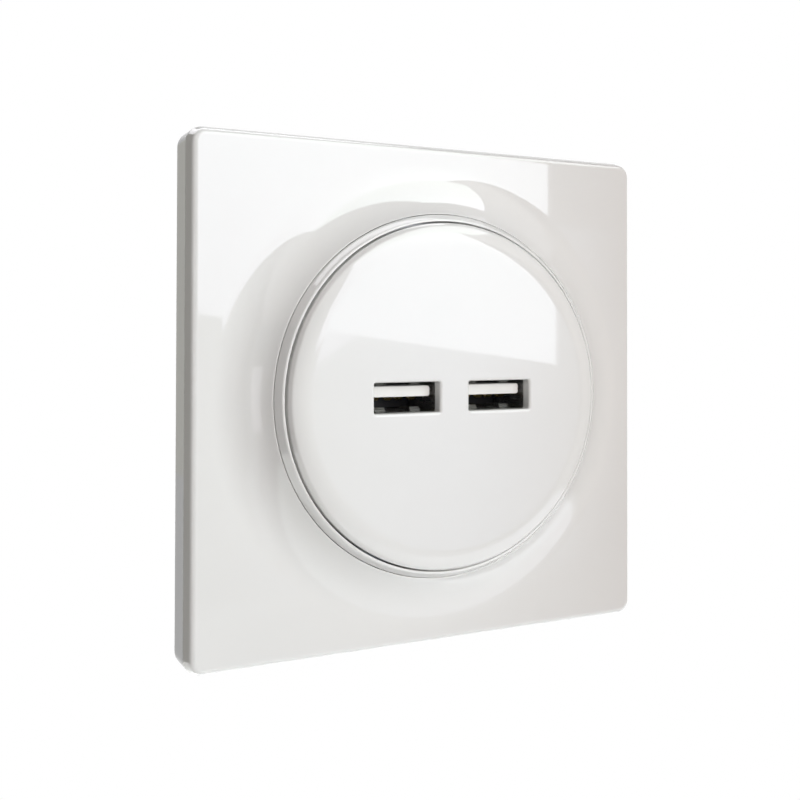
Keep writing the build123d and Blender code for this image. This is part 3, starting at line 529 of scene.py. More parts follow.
def effect(tree, make_group, values):
    """Shared effect, placed in a material with its own values."""
    return node(tree, "ShaderNodeGroup", values, node_tree=made_once(make_group))


def tone_of(tree, slot, values):
    """Colour and roughness of a slot's finish."""
    tone_inputs = {
        "Colour": (*getattr(bpy.context.scene.wall_socket.colours, slot), 1.0),
        "Shade": values.shade,
        "Roughness": values.roughness,
        "Spread": values.spread,
        "Patch": values.patch,
    }
    return effect(tree, moulded_tone_group, tone_inputs)


def bump(tree, height, relief):
    return node(tree, "ShaderNodeBump", {"Height": height, "Distance": relief, "Strength": 1.0})[0]


def moulded_material(slot):
    values = MOULDINGS[slot]
    material, tree = new_material(slot + FINISH_END)
    tone = tone_of(tree, slot, values)
    grain = effect(tree, surface_grain_group, {"Grain": values.grain, "Swell": values.swell})
    surface = {
        "Base Color": tone["Colour"],
        "Roughness": tone["Roughness"],
        "Normal": bump(tree, grain["Height"], values.relief),
        "IOR": values.ior,
    }
    end_material(tree, node(tree, "ShaderNodeBsdfPrincipled", surface))
    return material


def plated_material(slot):
    values = PLATINGS[slot]
    material, tree = new_material(slot + FINISH_END)
    tone = tone_of(tree, slot, values)
    scratches = effect(tree, fine_scratches_group, {"Length": values.scratch})
    surface = {
        "Base Color": tone["Colour"],
        "Roughness": maths(tree, "MULTIPLY_ADD", scratches["Mask"], values.marks, tone["Roughness"]),
        "Normal": bump(tree, scratches["Mask"], values.relief),
        "Metallic": 1.0,
    }
    end_material(tree, node(tree, "ShaderNodeBsdfPrincipled", surface))
    return material


def finish(slot):
    """Material of a slot, made when it is first asked for."""
    if slot + FINISH_END in bpy.data.materials:
        return bpy.data.materials[slot + FINISH_END]
    return moulded_material(slot) if slot in MOULDINGS else plated_material(slot)


# Mesh helpers


def wall_point(x, y, out):
    """Point x to the right, y up and so far out of the wall, in the part's frame."""
    return Vector((x, -out, y))


def square_outline(half, corner):
    """Points round a rounded square, on each side and in each corner as many."""
    straight = half - corner
    points = []
    for cosine, sine in ((1, 0), (0, 1), (-1, 0), (0, -1)):
        side = [(half, straight * (2 * step / SIDE_POINTS - 1)) for step in range(SIDE_POINTS)]
        bend = []
        for step in range(CORNER_POINTS):
            turn = QUARTER * step / CORNER_POINTS
            bend.append((straight + corner * math.cos(turn), straight + corner * math.sin(turn)))
        points += [(x * cosine - y * sine, x * sine + y * cosine) for x, y in side + bend]
    return points


def square_loop(half, corner, out):
    return [wall_point(x, y, out) for x, y in square_outline(half, corner)]


def circle_loop(radius, out, turns):
    return [wall_point(radius * math.cos(turn), radius * math.sin(turn), out) for turn in turns]


def even_turns(count):
    return [2 * math.pi * step / count for step in range(count)]


def mouth_loop(x, width, height, corner, out):
    """Points round a rounded rectangle about x, with divided corners."""
    points = []
    for quarter, (side_x, side_y) in enumerate(((1, 1), (-1, 1), (-1, -1), (1, -1))):
        for step in range(MOUTH_CORNER_STEPS + 1):
            turn = QUARTER * (quarter + step / MOUTH_CORNER_STEPS)
            across = x + side_x * (width / 2 - corner) + corner * math.cos(turn)
            upward = side_y * (height / 2 - corner) + corner * math.sin(turn)
            points.append(wall_point(across, upward, out))
    return points


def arc(centre_point, radius, start, end, steps):
    """Points of an arc in the plane of radius and level, its ends included."""
    points = []
    for step in range(steps + 1):
        turn = start + (end - start) * step / steps
        points.append((centre_point[0] + radius * math.cos(turn), centre_point[1] + radius * math.sin(turn)))
    return points


def soft_bend(before, corner, after, steps):
    """Points of a smooth bend from one point to another round a corner."""
    points = []
    for step in range(steps + 1):
        share = step / steps
        point = before.lerp(corner, share).lerp(corner.lerp(after, share), share)
        points.append(tuple(point))
    return points


def arc_radius(run, rise):
    """Radius of an arc that leaves a flat tangentially and rises so far over so much run."""
    return (run**2 + rise**2) / (2 * rise)


def add_rows(bm, loops):
    return [[bm.verts.new(point) for point in loop] for loop in loops]


def skin(bm, row, following):
    """Strip of faces between two rows of as many vertices."""
    count = len(row)
    for step in range(count):
        after = (step + 1) % count
        bm.faces.new((row[step], row[after], following[after], following[step]))


def row_edges(row):
    return [edge_between(a, b) for a, b in zip(row, row[1:] + row[:1])]


def edge_between(a, b):
    for edge in a.link_edges:
        if edge.other_vert(a) is b:
            return edge
    raise ValueError("no edge between two neighbours in a row")


def prism(outline, width):
    """Bar of the given width along the upright, with an outline in x and level."""
    bm = bmesh.new()
    low = [bm.verts.new(wall_point(x, -width / 2, out)) for x, out in outline]
    high = [bm.verts.new(wall_point(x, width / 2, out)) for x, out in outline]
    bm.faces.new(low)
    bm.faces.new(high)
    skin(bm, low, high)
    bmesh.ops.recalc_face_normals(bm, faces=bm.faces)
    return bm


def to_mesh(bm, name):
    mesh = bpy.data.meshes.new(name)
    bm.to_mesh(mesh)
    bm.free()
    return mesh


def join_meshes(name, meshes):
    """One mesh of several, which are used up."""
    bm = bmesh.new()
    for mesh in meshes:
        bm.from_mesh(mesh)
        bpy.data.meshes.remove(mesh)
    return to_mesh(bm, name)


def smooth(mesh):
    mesh.shade_smooth()
    mesh.set_sharp_from_angle(angle=SHARP_ANGLE)


def add_piece(name, mesh, slot, body, *nodes):
    """Finished piece that rides on a body and stands for CAD nodes."""
    mesh.name = name
    mesh.materials.clear()
    mesh.materials.append(finish(slot))
    smooth(mesh)
    piece = bpy.data.objects.new(name, mesh)
    bpy.context.scene.collection.objects.link(piece)
    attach(piece, body)
    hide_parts(*nodes)
    return piece


def even_shading(piece):
    """Let the large flats of a softened piece set the shading, not its narrow edges."""
    modifier = piece.modifiers.new("Even shading", "WEIGHTED_NORMAL")
    modifier.mode = "FACE_AREA"
    modifier.keep_sharp = True


def soften(bm, edges, width, segments=2, clamped=False):
    """Round off edges by so many strips of faces, narrower where there is no room if clamped."""
    bmesh.ops.bevel(
        bm,
        geom=edges,
        offset=width,
        segments=segments,
        profile=ROUND_PROFILE,
        affect="EDGES",
        clamp_overlap=clamped,
    )


def is_outer_edge(edge):
    return edge.is_manifold and edge.is_convex and edge.calc_face_angle() > SHARP_ANGLE


def dressed_copy(node_name, width):
    """Copy of a CAD node's mesh: welded, its flats joined, its outer edges softened."""
    bm = bmesh.new()
    bm.from_mesh(frame["nodes"][node_name].data)
    bmesh.ops.remove_doubles(bm, verts=bm.verts, dist=WELD)
    bmesh.ops.dissolve_limit(bm, angle_limit=FLAT_ANGLE, verts=bm.verts, edges=bm.edges)
    soften(bm, [edge for edge in bm.edges if is_outer_edge(edge)], width, clamped=True)
    return to_mesh(bm, node_name)


def paint_node(node_name, slot):
    """Give a CAD node that keeps its own mesh its finish."""
    materials = frame["nodes"][node_name].data.materials
    materials.clear()
    materials.append(finish(slot))


def round_copies(bm, count, start, slot):
    """Mesh of copies of a shape round the socket's axis."""
    values = {"Count": count, "Start": start, "Material": finish(slot)}
    return through_nodes(to_mesh(bm, "copies"), made_once(copies_round_axis_tree), values)


# Cover plate, ring and face


def lip_rounding(plate, lip_radius, curve):
    """Centre of the small rounding on the lip, and the turn at which it meets the flare."""
    run = plate.foot - lip_radius - LIP_ROUND
    reach = curve + LIP_ROUND
    level_of_centre = plate.depth + curve - math.sqrt(reach**2 - run**2)
    return (lip_radius + LIP_ROUND, level_of_centre), math.asin(run / reach)


def plate_front_profile(plate, lip_radius):
    """Radius and level from the ledge up the lip and down the flare to its foot."""
    curve = arc_radius(plate.foot - lip_radius, plate.lip_front - plate.depth)
    rounding, meeting = lip_rounding(plate, lip_radius, curve)
    lip = arc(rounding, LIP_ROUND, math.pi, QUARTER - meeting, SMALL_STEPS)
    down = 3 * QUARTER
    flare = arc((plate.foot, plate.depth + curve), curve, down - meeting, down, FLARE_STEPS)
    return [(lip_radius, plate.ledge_front), *lip, *flare[1:]]


def plate_back_profile(plate, lip_radius):
    """Radius and level from the foot up the back of the flare, down the collar and round the ledge."""
    curve = arc_radius(plate.foot - lip_radius, plate.lip_front - plate.depth) + plate.wall
    collar = lip_radius + plate.wall
    ledge_back = plate.ledge_front - plate.ledge_thickness
    level_of_centre = plate.depth + curve - plate.wall
    down = 3 * QUARTER
    end = down - math.asin((plate.foot - collar) / curve)
    flare = arc((plate.foot, level_of_centre), curve, down, end, FLARE_STEPS)
    inner = lip_radius - plate.ledge_reach
    return [*flare, (collar, ledge_back), (inner, ledge_back), (inner, plate.ledge_front)]


def plate_edge_profile(plate):
    """How far inside the plate's outline and out of the wall, from the flat over the edge and the bevel."""
    lean = math.atan2(plate.bevel_run, plate.bevel_depth)
    start = -plate.bevel_run - plate.edge * math.cos(lean)
    rounding = arc((start, plate.depth - plate.edge), plate.edge, QUARTER, lean, EDGE_STEPS)
    top = rounding[-1][1]
    foot = top - plate.bevel_depth
    share = SUPPORT / plate.bevel_depth
    bevel = [
        (-plate.bevel_run * (1 - share), top - SUPPORT),
        (-plate.bevel_run * share, foot + SUPPORT),
        (0, foot),
        (0, foot - SUPPORT),
    ]
    return [(start - SUPPORT, plate.depth), *rounding, *bevel, (0, RIM_ROUND + SUPPORT)]


def plate_rim_loops(plate):
    """Rounded squares from the flat over the front edge, round the rear rim and up the inside."""
    half = plate.side / 2
    inner = half - plate.wall
    inside = plate.depth - plate.wall
    loops = []
    for across, out in plate_edge_profile(plate):
        loops.append(square_loop(half + across, plate.corner + across, out))
    for across, out in arc((-RIM_ROUND, RIM_ROUND), RIM_ROUND, 0, -QUARTER, SMALL_STEPS):
        loops.append(square_loop(half + across, plate.corner + across, out))
    corner = plate.corner - plate.wall
    for across, out in arc((RIM_ROUND, RIM_ROUND), RIM_ROUND, -QUARTER, -2 * QUARTER, SMALL_STEPS):
        loops.append(square_loop(inner + across, corner + across, out))
    top = inside - INSIDE_ROUND
    for across, out in arc((-INSIDE_ROUND, top), INSIDE_ROUND, 0, QUARTER, SMALL_STEPS):
        loops.append(square_loop(inner + across, corner + across, out))
    return loops


def plate_shell(plate, lip_radius):
    turns = [math.atan2(y, x) for x, y in square_outline(plate.side / 2, plate.corner)]
    loops = [circle_loop(radius, out, turns) for radius, out in plate_front_profile(plate, lip_radius)]
    loops.append(circle_loop(plate.foot + SUPPORT, plate.depth, turns))
    loops += plate_rim_loops(plate)
    loops += [circle_loop(radius, out, turns) for radius, out in plate_back_profile(plate, lip_radius)]
    bm = bmesh.new()
    rows = add_rows(bm, loops)
    for row, following in zip(rows, rows[1:] + rows[:1]):
        skin(bm, row, following)
    bmesh.ops.recalc_face_normals(bm, faces=bm.faces)
    return to_mesh(bm, "plate_shell")


def plate_ribs(plate, lip_radius):
    """The pair of ribs behind one side of the plate, repeated behind each side."""
    inside = plate.depth - plate.wall
    collar = lip_radius + plate.wall
    root = plate.side / 2 - plate.wall / 2
    tip = math.sqrt(collar**2 - plate.rib_offset**2) + plate.wall
    pair = bmesh.new()
    for side in (-1, 1):
        low = side * plate.rib_offset - plate.rib_thickness / 2
        high = low + plate.rib_thickness
        back = inside - plate.rib_depth
        front = inside + plate.wall / 2
        rib = prism([(low, back), (high, back), (high, front), (low, front)], root - tip)
        soften(rib, rib.edges[:], RIM_ROUND / 2)
        bmesh.ops.translate(rib, verts=rib.verts, vec=wall_point(0, (root + tip) / 2, 0))
        mesh = to_mesh(rib, "rib")
        pair.from_mesh(mesh)
        bpy.data.meshes.remove(mesh)
    return round_copies(pair, PLATE_SIDES, 0.0, "gloss_white")


def ring_profile(ring, lip_front):
    """Outline of the ring in radius and level, anticlockwise: a steep band with a rounded crown."""
    inner = ring.radius - ring.band
    flange_front = ring.back + ring.flange
    crown = (inner + LIP_ROUND, ring.front - ring.crown)
    run = ring.radius - crown[0]
    rise = lip_front - crown[1]
    normal = math.atan2(rise, run) + math.acos(ring.crown / math.hypot(run, rise))
    outer_centre = (ring.radius - LIP_ROUND, lip_front - LIP_ROUND * math.tan(normal / 2))
    return [
        (ring.flange_radius, ring.back),
        (ring.radius, ring.back),
        *arc(outer_centre, LIP_ROUND, 0, normal, SMALL_STEPS),
        *arc(crown, ring.crown, normal, QUARTER, EDGE_STEPS),
        *arc((crown[0], ring.front - LIP_ROUND), LIP_ROUND, QUARTER, math.pi, SMALL_STEPS)[1:],
        (inner, flange_front),
        (ring.flange_radius, flange_front),
    ]


def ring_band(ring, lip_front):
    """Ring turned from its outline."""
    outline = ring_profile(ring, lip_front)
    middle = ring.radius - ring.band
    mesh = bpy.data.meshes.new("ring_outline")
    count = len(outline)
    mesh.from_pydata(
        [(radius - middle, out, 0) for radius, out in outline],
        [(step, (step + 1) % count) for step in range(count)],
        [],
    )
    values = {"Radius": middle, "Points": TURN_POINTS, "Material": finish("gloss_white")}
    return through_nodes(mesh, made_once(turned_profile_tree), values)


def snap_legs(leg, radius, back, front, outwards, start):
    """Legs with wedge-shaped nibs, spaced round the axis."""
    outer = radius + leg.thickness
    shoulder = back + leg.nib_height
    if outwards:
        nib = [(outer, back), (outer + leg.nib, shoulder), (outer, shoulder)]
        outline = [(radius, back), *nib, (outer, front), (radius, front)]
    else:
        nib = [(radius, shoulder), (radius - leg.nib, shoulder)]
        outline = [(radius, back), (outer, back), (outer, front), (radius, front), *nib]
    return round_copies(prism(outline, leg.width), leg.count, start, "gloss_white")


def face_profile(face):
    """Radius and level of the face from its flat over the rounding, chamfer and skirt to its inside."""
    flat = face.radius - face.edge_run
    run = face.edge_run - face.chamfer_run
    curve = arc_radius(run, face.edge_drop - face.chamfer_drop)
    end = QUARTER - math.asin((run - face.crease) / curve)
    dome = arc((flat, face.front - curve), curve, QUARTER, end, EDGE_STEPS)
    crest = Vector((flat + run, face.front - face.edge_drop + face.chamfer_drop))
    foot = Vector((face.radius, face.front - face.edge_drop))
    along = (foot - crest).normalized()
    below = foot - Vector((0, RIM_ROUND))
    edge = dome[:-1] + soft_bend(Vector(dome[-1]), crest, crest + along * face.crease, EDGE_STEPS)
    edge += [tuple(crest + along * (face.crease + SUPPORT))]
    edge += soft_bend(foot - along * RIM_ROUND, foot, below, SMALL_STEPS)
    inner = face.radius - face.skirt
    back = face.front - face.wall
    skirt = [
        (face.radius, face.skirt_back + LIP_ROUND),
        (face.radius - LIP_ROUND, face.skirt_back),
        (inner + LIP_ROUND, face.skirt_back),
        (inner, face.skirt_back + LIP_ROUND),
    ]
    hollow = arc((inner - INSIDE_ROUND, back - INSIDE_ROUND), INSIDE_ROUND, 0, QUARTER, SMALL_STEPS)
    return [(flat - SUPPORT, face.front), *edge, *skirt, *hollow, (inner - INSIDE_ROUND - SUPPORT, back)]


def mouth_loops(face, x):
    """Loops of a USB mouth from its rounded rim on the front to its rear edge."""
    loops = []
    back = face.front - face.wall
    rounding = (face.mouth_rim, face.front - face.mouth_rim)
    rim = [
        (face.mouth_rim + SUPPORT, face.front),
        *arc(rounding, face.mouth_rim, QUARTER, 2 * QUARTER, EDGE_STEPS),
        (0, back + LIP_ROUND),
        (LIP_ROUND, back),
    ]
    for spread, out in rim:
        width = face.mouth_width + 2 * spread
        height = face.mouth_height + 2 * spread
        loops.append(mouth_loop(x, width, height, face.mouth_corner + spread, out))
    return loops


def face_shell(face):
    bm = bmesh.new()
    turns = even_turns(TURN_POINTS)
    rows = add_rows(bm, [circle_loop(radius, out, turns) for radius, out in face_profile(face)])
    for row, following in zip(rows, rows[1:]):
        skin(bm, row, following)
    front_edges = row_edges(rows[0])
    back_edges = row_edges(rows[-1])
    for side in SIDES:
        mouth = add_rows(bm, mouth_loops(face, centre("usb_shell_" + side).x))
        for row, following in zip(mouth, mouth[1:]):
            skin(bm, row, following)
        front_edges += row_edges(mouth[0])
        back_edges += row_edges(mouth[-1])
    bmesh.ops.triangle_fill(bm, use_beauty=True, edges=front_edges, normal=(0, -1, 0))
    bmesh.ops.triangle_fill(bm, use_beauty=True, edges=back_edges, normal=(0, 1, 0))
    bmesh.ops.recalc_face_normals(bm, faces=bm.faces)
    return to_mesh(bm, "face_shell")


class DressCoverPlate(bpy.types.Operator):
    """Build the cover plate: the flared shell and the ribs behind it"""

    bl_idname = "wall_socket.cover_plate"
    bl_label = "Cover plate"

    def execute(self, context):
        settings = context.scene.wall_socket
        lip_radius = settings.ring.radius + settings.plate.seam
        meshes = [plate_shell(settings.plate, lip_radius), plate_ribs(settings.plate, lip_radius)]
        add_piece("plate_moulding", join_meshes("plate_moulding", meshes), "gloss_white", BODY, "cover_plate")
        return {"FINISHED"}


class DressBezelRing(bpy.types.Operator):
    """Build the narrow ring between the plate and the face, with its snap legs"""

    bl_idname = "wall_socket.bezel_ring"
    bl_label = "Bezel ring"

    def execute(self, context):
        settings = context.scene.wall_socket
        ring = settings.ring
        legs_front = ring.back + ring.flange / 2
        back = back_of("bezel_ring")
        legs = snap_legs(settings.leg, ring.leg_radius, back, legs_front, True, RING_LEGS_START)
        meshes = [ring_band(ring, settings.plate.lip_front), legs]
        add_piece("ring_moulding", join_meshes("ring_moulding", meshes), "gloss_white", BODY, "bezel_ring")
        return {"FINISHED"}


class DressFaceCover(bpy.types.Operator):
    """Build the round face with its two USB mouths and its snap legs"""

    bl_idname = "wall_socket.face_cover"
    bl_label = "Face"

    def execute(self, context):
        settings = context.scene.wall_socket
        face = settings.face
        legs_front = face.front - face.wall * FACE_LEG_ROOT
        back = back_of("face_cover")
        legs = snap_legs(settings.leg, face.leg_radius, back, legs_front, False, FACE_LEGS_START)
        meshes = [face_shell(face), legs]
        add_piece("face_moulding", join_meshes("face_moulding", meshes), "gloss_white", BODY, "face_cover")
        return {"FINISHED"}


# USB connectors, case and terminals


def contact_path(contact, side):
    """Points along a leaf contact, as level and height: up the tail, forwards and over the bow."""
    low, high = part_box("usb_contacts_" + side)
    half = contact.thickness / 2
    tail = -high.y + half
    tip = -low.y
    top = high.z - half
    start = tip - contact.bow_length
    path = [(tail, low.z), (tail, top - contact.thickness), (tail + contact.thickness, top)]
    for step in range(BOW_STEPS + 1):
        share = step / BOW_STEPS
        drop = contact.bow * math.sin(math.pi * share**BOW_SKEW) ** 2
        path.append((start + contact.bow_length * share, top - drop))
    return path


def leaf_strip(path, width, thickness):
    """Strip of sheet that follows a path in level and height, square at its ends."""
    bm = bmesh.new()
    rows = []
    for step, (out, up) in enumerate(path):
        before = path[max(step - 1, 0)]
        after = path[min(step + 1, len(path) - 1)]
        along = Vector((after[0] - before[0], after[1] - before[1])).normalized()
        off = Vector((-along.y, along.x)) * thickness / 2
        corners = [(-width, off), (width, off), (width, -off), (-width, -off)]
        rows.append([bm.verts.new(wall_point(x / 2, up + o.y, out + o.x)) for x, o in corners])
    for row, following in zip(rows, rows[1:]):
        skin(bm, row, following)
    bm.faces.new(rows[0])
    bm.faces.new(rows[-1])
    bmesh.ops.recalc_face_normals(bm, faces=bm.faces)
    return bm


def contact_row(contact, side):
    strip = leaf_strip(contact_path(contact, side), contact.width, contact.thickness)
    soften(strip, strip.edges[:], contact.thickness * LEAF_SOFTENING, segments=1)
    values = {
        "Inner Pitch": contact.inner_pitch,
        "Outer Pitch": contact.outer_pitch,
        "Material": finish("contact_gold"),
    }
    mesh = through_nodes(to_mesh(strip, "leaf"), made_once(contact_row_tree), values)
    mesh.transform(Matrix.Translation((centre("usb_contacts_" + side).x, 0, 0)))
    return mesh


def spring_ramps(spring, side):
    """Raised front ends of a shell's spring tabs, above and below its mouth."""
    shell = "usb_shell_" + side
    front = front_of(shell) - spring.setback
    crest = front - spring.ramp
    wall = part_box(shell)[1].z - spring.sheet
    half_sheet = spring.sheet / 2
    end = (half_sheet, front - spring.length)
    outline = [(-half_sheet, front), (spring.rise, crest), (spring.rise, crest - spring.ramp), end]
    ramps = []
    for upwards in (-1, 1):
        turn = Matrix.Rotation(upwards * QUARTER, 4, "Y")
        for offset in (-spring.offset, spring.offset):
            ramp = to_mesh(prism(outline, spring.width), "ramp")
            ramp.transform(Matrix.Translation((centre(shell).x + offset, 0, upwards * wall)) @ turn)
            ramps.append(ramp)
    return ramps


def bring_forward(mesh, front, reach):
    """Move the front end of a bar out of the wall, which makes the bar longer."""
    for vertex in mesh.vertices:
        if -vertex.co.y > front - reach:
            vertex.co.y -= reach


# Pieces that keep the CAD form with softened edges: node, new name, slot, softening and a terminal's body
SOFTENED_USB = (
    ("usb_shell_{}", "shell_{}", "usb_steel", 0.05 * MM),
    ("usb_tongue_{}", "tongue_{}", "tongue_white", 0.12 * MM),
    ("usb_base_{}", "base_{}", "insulator_black", 0.08 * MM),
)
SOFTENED_CASE = (
    ("support_frame", "steel_frame", "zinc_steel", 0.12 * MM),
    ("front_housing", "case_front", "housing_white", 0.12 * MM),
    ("rear_housing", "case_rear", "case_dark", 0.2 * MM),
    ("housing_screws", "case_screws", "screw_steel", 0.08 * MM),
)
SOFTENED_TERMINALS = (
    ("terminal_screw_{}", "clamp_screw_{}", "screw_steel", 0.08 * MM, "{}_screw"),
    ("terminal_clamp_{}", "clamp_cage_{}", "clamp_steel", 0.1 * MM, "{}_clamp"),
    ("contact_bar_{}", "wire_bar_{}", "terminal_brass", 0.1 * MM, BODY),
)

# Nodes sealed inside the case, which keep their own mesh
INNER_PIECES = {
    "main_board": "board_green",
    "transformer_core": "ferrite",
    "transformer_bobbin": "bobbin_black",
    "transformer_winding": "winding_tape",
    "bulk_capacitors": "can_sleeve",
    "output_capacitors": "can_sleeve",
    "fuse": "fuse_body",
    "input_choke": "ferrite",
    "safety_capacitor": "disc_blue",
    "bridge_rectifier": "chip_black",
    "control_chip": "chip_black",
    "optocoupler": "chip_black",
    "output_rectifier": "chip_black",
}


class DressUsbConnectors(bpy.types.Operator):
    """Dress the two USB connectors: shells, bases, tongues and leaf contacts"""

    bl_idname = "wall_socket.usb_connectors"
    bl_label = "USB connectors"

    def execute(self, context):
        settings = context.scene.wall_socket
        spring = settings.spring
        for side in SIDES:
            meshes = {}
            for node_name, name, _, width in SOFTENED_USB:
                meshes[name] = dressed_copy(node_name.format(side), width)
            shell = [meshes["shell_{}"], *spring_ramps(spring, side)]
            meshes["shell_{}"] = join_meshes("shell", shell)
            bring_forward(meshes["tongue_{}"], front_of("usb_tongue_" + side), spring.tongue_reach)
            for node_name, name, slot, _ in SOFTENED_USB:
                even_shading(add_piece(name.format(side), meshes[name], slot, BODY, node_name.format(side)))
            row = contact_row(settings.contact, side)
            add_piece("leaves_" + side, row, "contact_gold", BODY, "usb_contacts_" + side)
        return {"FINISHED"}


def slope_beads(mesh, bead):
    """Draw in the floors of the beads across the frame's corners, so that their sides lean."""
    for vertex in mesh.vertices:
        if abs(vertex.co.y + bead.depth) > WELD:
            continue
        diagonal = Vector((math.copysign(1, vertex.co.x), 0, math.copysign(1, vertex.co.z))).normalized()
        across = diagonal.dot(vertex.co) - bead.radius
        vertex.co -= diagonal * math.copysign(min(abs(across), bead.slope), across)


class DressCase(bpy.types.Operator):
    """Dress the support frame, the two halves of the case and the case screws"""

    bl_idname = "wall_socket.case"
    bl_label = "Frame and case"

    def execute(self, context):
        for node_name, name, slot, width in SOFTENED_CASE:
            mesh = dressed_copy(node_name, width)
            if node_name == "support_frame":
                slope_beads(mesh, context.scene.wall_socket.bead)
            even_shading(add_piece(name, mesh, slot, BODY, node_name))
        return {"FINISHED"}


class DressTerminals(bpy.types.Operator):
    """Dress the terminal screws, the rising cages and the brass bars"""

    bl_idname = "wall_socket.terminals"
    bl_label = "Terminals"

    def execute(self, context):
        for pole in POLES:
            for node_name, name, slot, width, body in SOFTENED_TERMINALS:
                mesh = dressed_copy(node_name.format(pole), width)
                piece = add_piece(name.format(pole), mesh, slot, body.format(pole), node_name.format(pole))
                even_shading(piece)
        return {"FINISHED"}


class DressElectronics(bpy.types.Operator):
    """Give the board and the parts that it carries their finishes"""

    bl_idname = "wall_socket.electronics"
    bl_label = "Electronics"

    def execute(self, context):
        for node_name, slot in INNER_PIECES.items():
            paint_node(node_name, slot)
        return {"FINISHED"}


# Stage

WHITE = (1.0, 1.0, 1.0, 1.0)
BLACK = (0.0, 0.0, 0.0, 1.0)
FLOOR_COLOUR = (0.8, 0.8, 0.8, 1.0)
FLOOR_REACH = 4.0
CLIP_NEAR = 0.01

# Lamps that light matt surfaces: degrees to the right of the front, degrees up, watts and colour
Lamp = namedtuple("Lamp", "azimuth elevation watts colour")
LAMPS = {
    "front_lamp": Lamp(8, 15, 3.41, (1.0, 0.932, 0.898)),
    "front_right_lamp": Lamp(40, 20, 2.87, (0.781, 0.944, 1.0)),
    "low_left_lamp": Lamp(-40, -40, 0.45, (1.0, 0.91, 0.76)),
    "rear_lamp": Lamp(175, 30, 3.0, (1.0, 1.0, 1.0)),
    "rear_right_lamp": Lamp(140, -10, 2.0, (1.0, 1.0, 1.0)),
}
LAMP_DISTANCE = 0.7
LAMP_SIDE = 0.35

# Flag that shades the right side: its corners in metres
FLAG = ((0.107, -0.15, -0.3), (0.25, -0.15, -0.3), (0.25, -0.15, 0.4), (0.107, -0.15, 0.4))

# Kinds of ray that pass by the things of the stage
UNSEEN_LAMP = ("camera", "glossy")
UNSEEN_FLAG = ("camera", "glossy", "transmission")
UNSEEN_SURFACE = ("camera", "diffuse", "transmission", "shadow")

# Panels that glossy surfaces mirror: corners in metres and the light at each, lower left round to upper left
Panel = namedtuple("Panel", "corners lights")
PANEL_CORNERS = 4
PANEL_CELLS = 16
PANELS = {
    "key_panel": Panel(
        ((0.065, -0.6, 0.03), (0.433, -0.6, -0.0184), (0.44, -0.6, 0.52), (-0.085, -0.6, 0.52)),
        ((1.72, 1.73, 2.03), (3.15, 3.42, 3.77), (4.54, 4.82, 4.98), (4.24, 4.39, 4.70)),
    ),
    "key_corner": Panel(
        ((0.195, -0.6, -0.025), (0.248, -0.6, 0.0075), (0.248, -0.6, 0.007), (0.195, -0.6, 0.012)),
        ((1.53, 1.56, 1.86),) * PANEL_CORNERS,
    ),
    "fill_left_panel": Panel(
        ((0.15, -0.75, -0.235), (0.42, -0.75, -0.235), (0.42, -0.75, 0.12), (0.15, -0.75, 0.12)),
        ((0.00, 0.00, 0.00), (0.50, 0.58, 0.78), (1.55, 1.74, 2.00), (0.00, 0.00, 0.00)),
    ),
    "fill_right_panel": Panel(
        ((0.42, -0.75, -0.235), (0.68, -0.75, -0.235), (0.68, -0.75, 0.12), (0.42, -0.75, 0.12)),
        ((0.50, 0.58, 0.78), (0.12, 0.12, 0.12), (0.12, 0.12, 0.12), (1.55, 1.74, 2.00)),
    ),
    "window_panel": Panel(
        ((-0.496, -0.262, -0.16), (-0.425, -0.37, -0.145), (-0.42, -0.396, 0.072), (-0.504, -0.28, 0.091)),
        ((1.9, 1.9, 2.0),) * PANEL_CORNERS,
    ),
    "top_panel": Panel(
        ((-0.105, -0.585, 0.5), (0.52, -0.6, 0.5), (0.45, -0.05, 0.5), (0.2, -0.1, 0.5)),
        ((3.02, 3.40, 3.33), (3.68, 4.21, 3.96), (4.10, 4.00, 4.40), (4.26, 4.67, 4.65)),
    ),
    "ring_panel": Panel(
        ((-0.4, 0.04, 0.5), (0.25, 0.12, 0.5), (0.25, 0.5, 0.5), (-0.4, 0.5, 0.5)),
        ((4.0, 4.0, 4.1),) * PANEL_CORNERS,
    ),
    "table_panel": Panel(
        ((-0.75, 0.6, -0.395), (0.87, 0.6, -0.395), (0.87, -0.62, -0.395), (-0.75, -0.62, -0.395)),
        ((3.70, 3.67, 3.56), (2.10, 2.20, 2.20), (1.55, 1.58, 1.75), (0.62, 0.89, 0.90)),
    ),
}

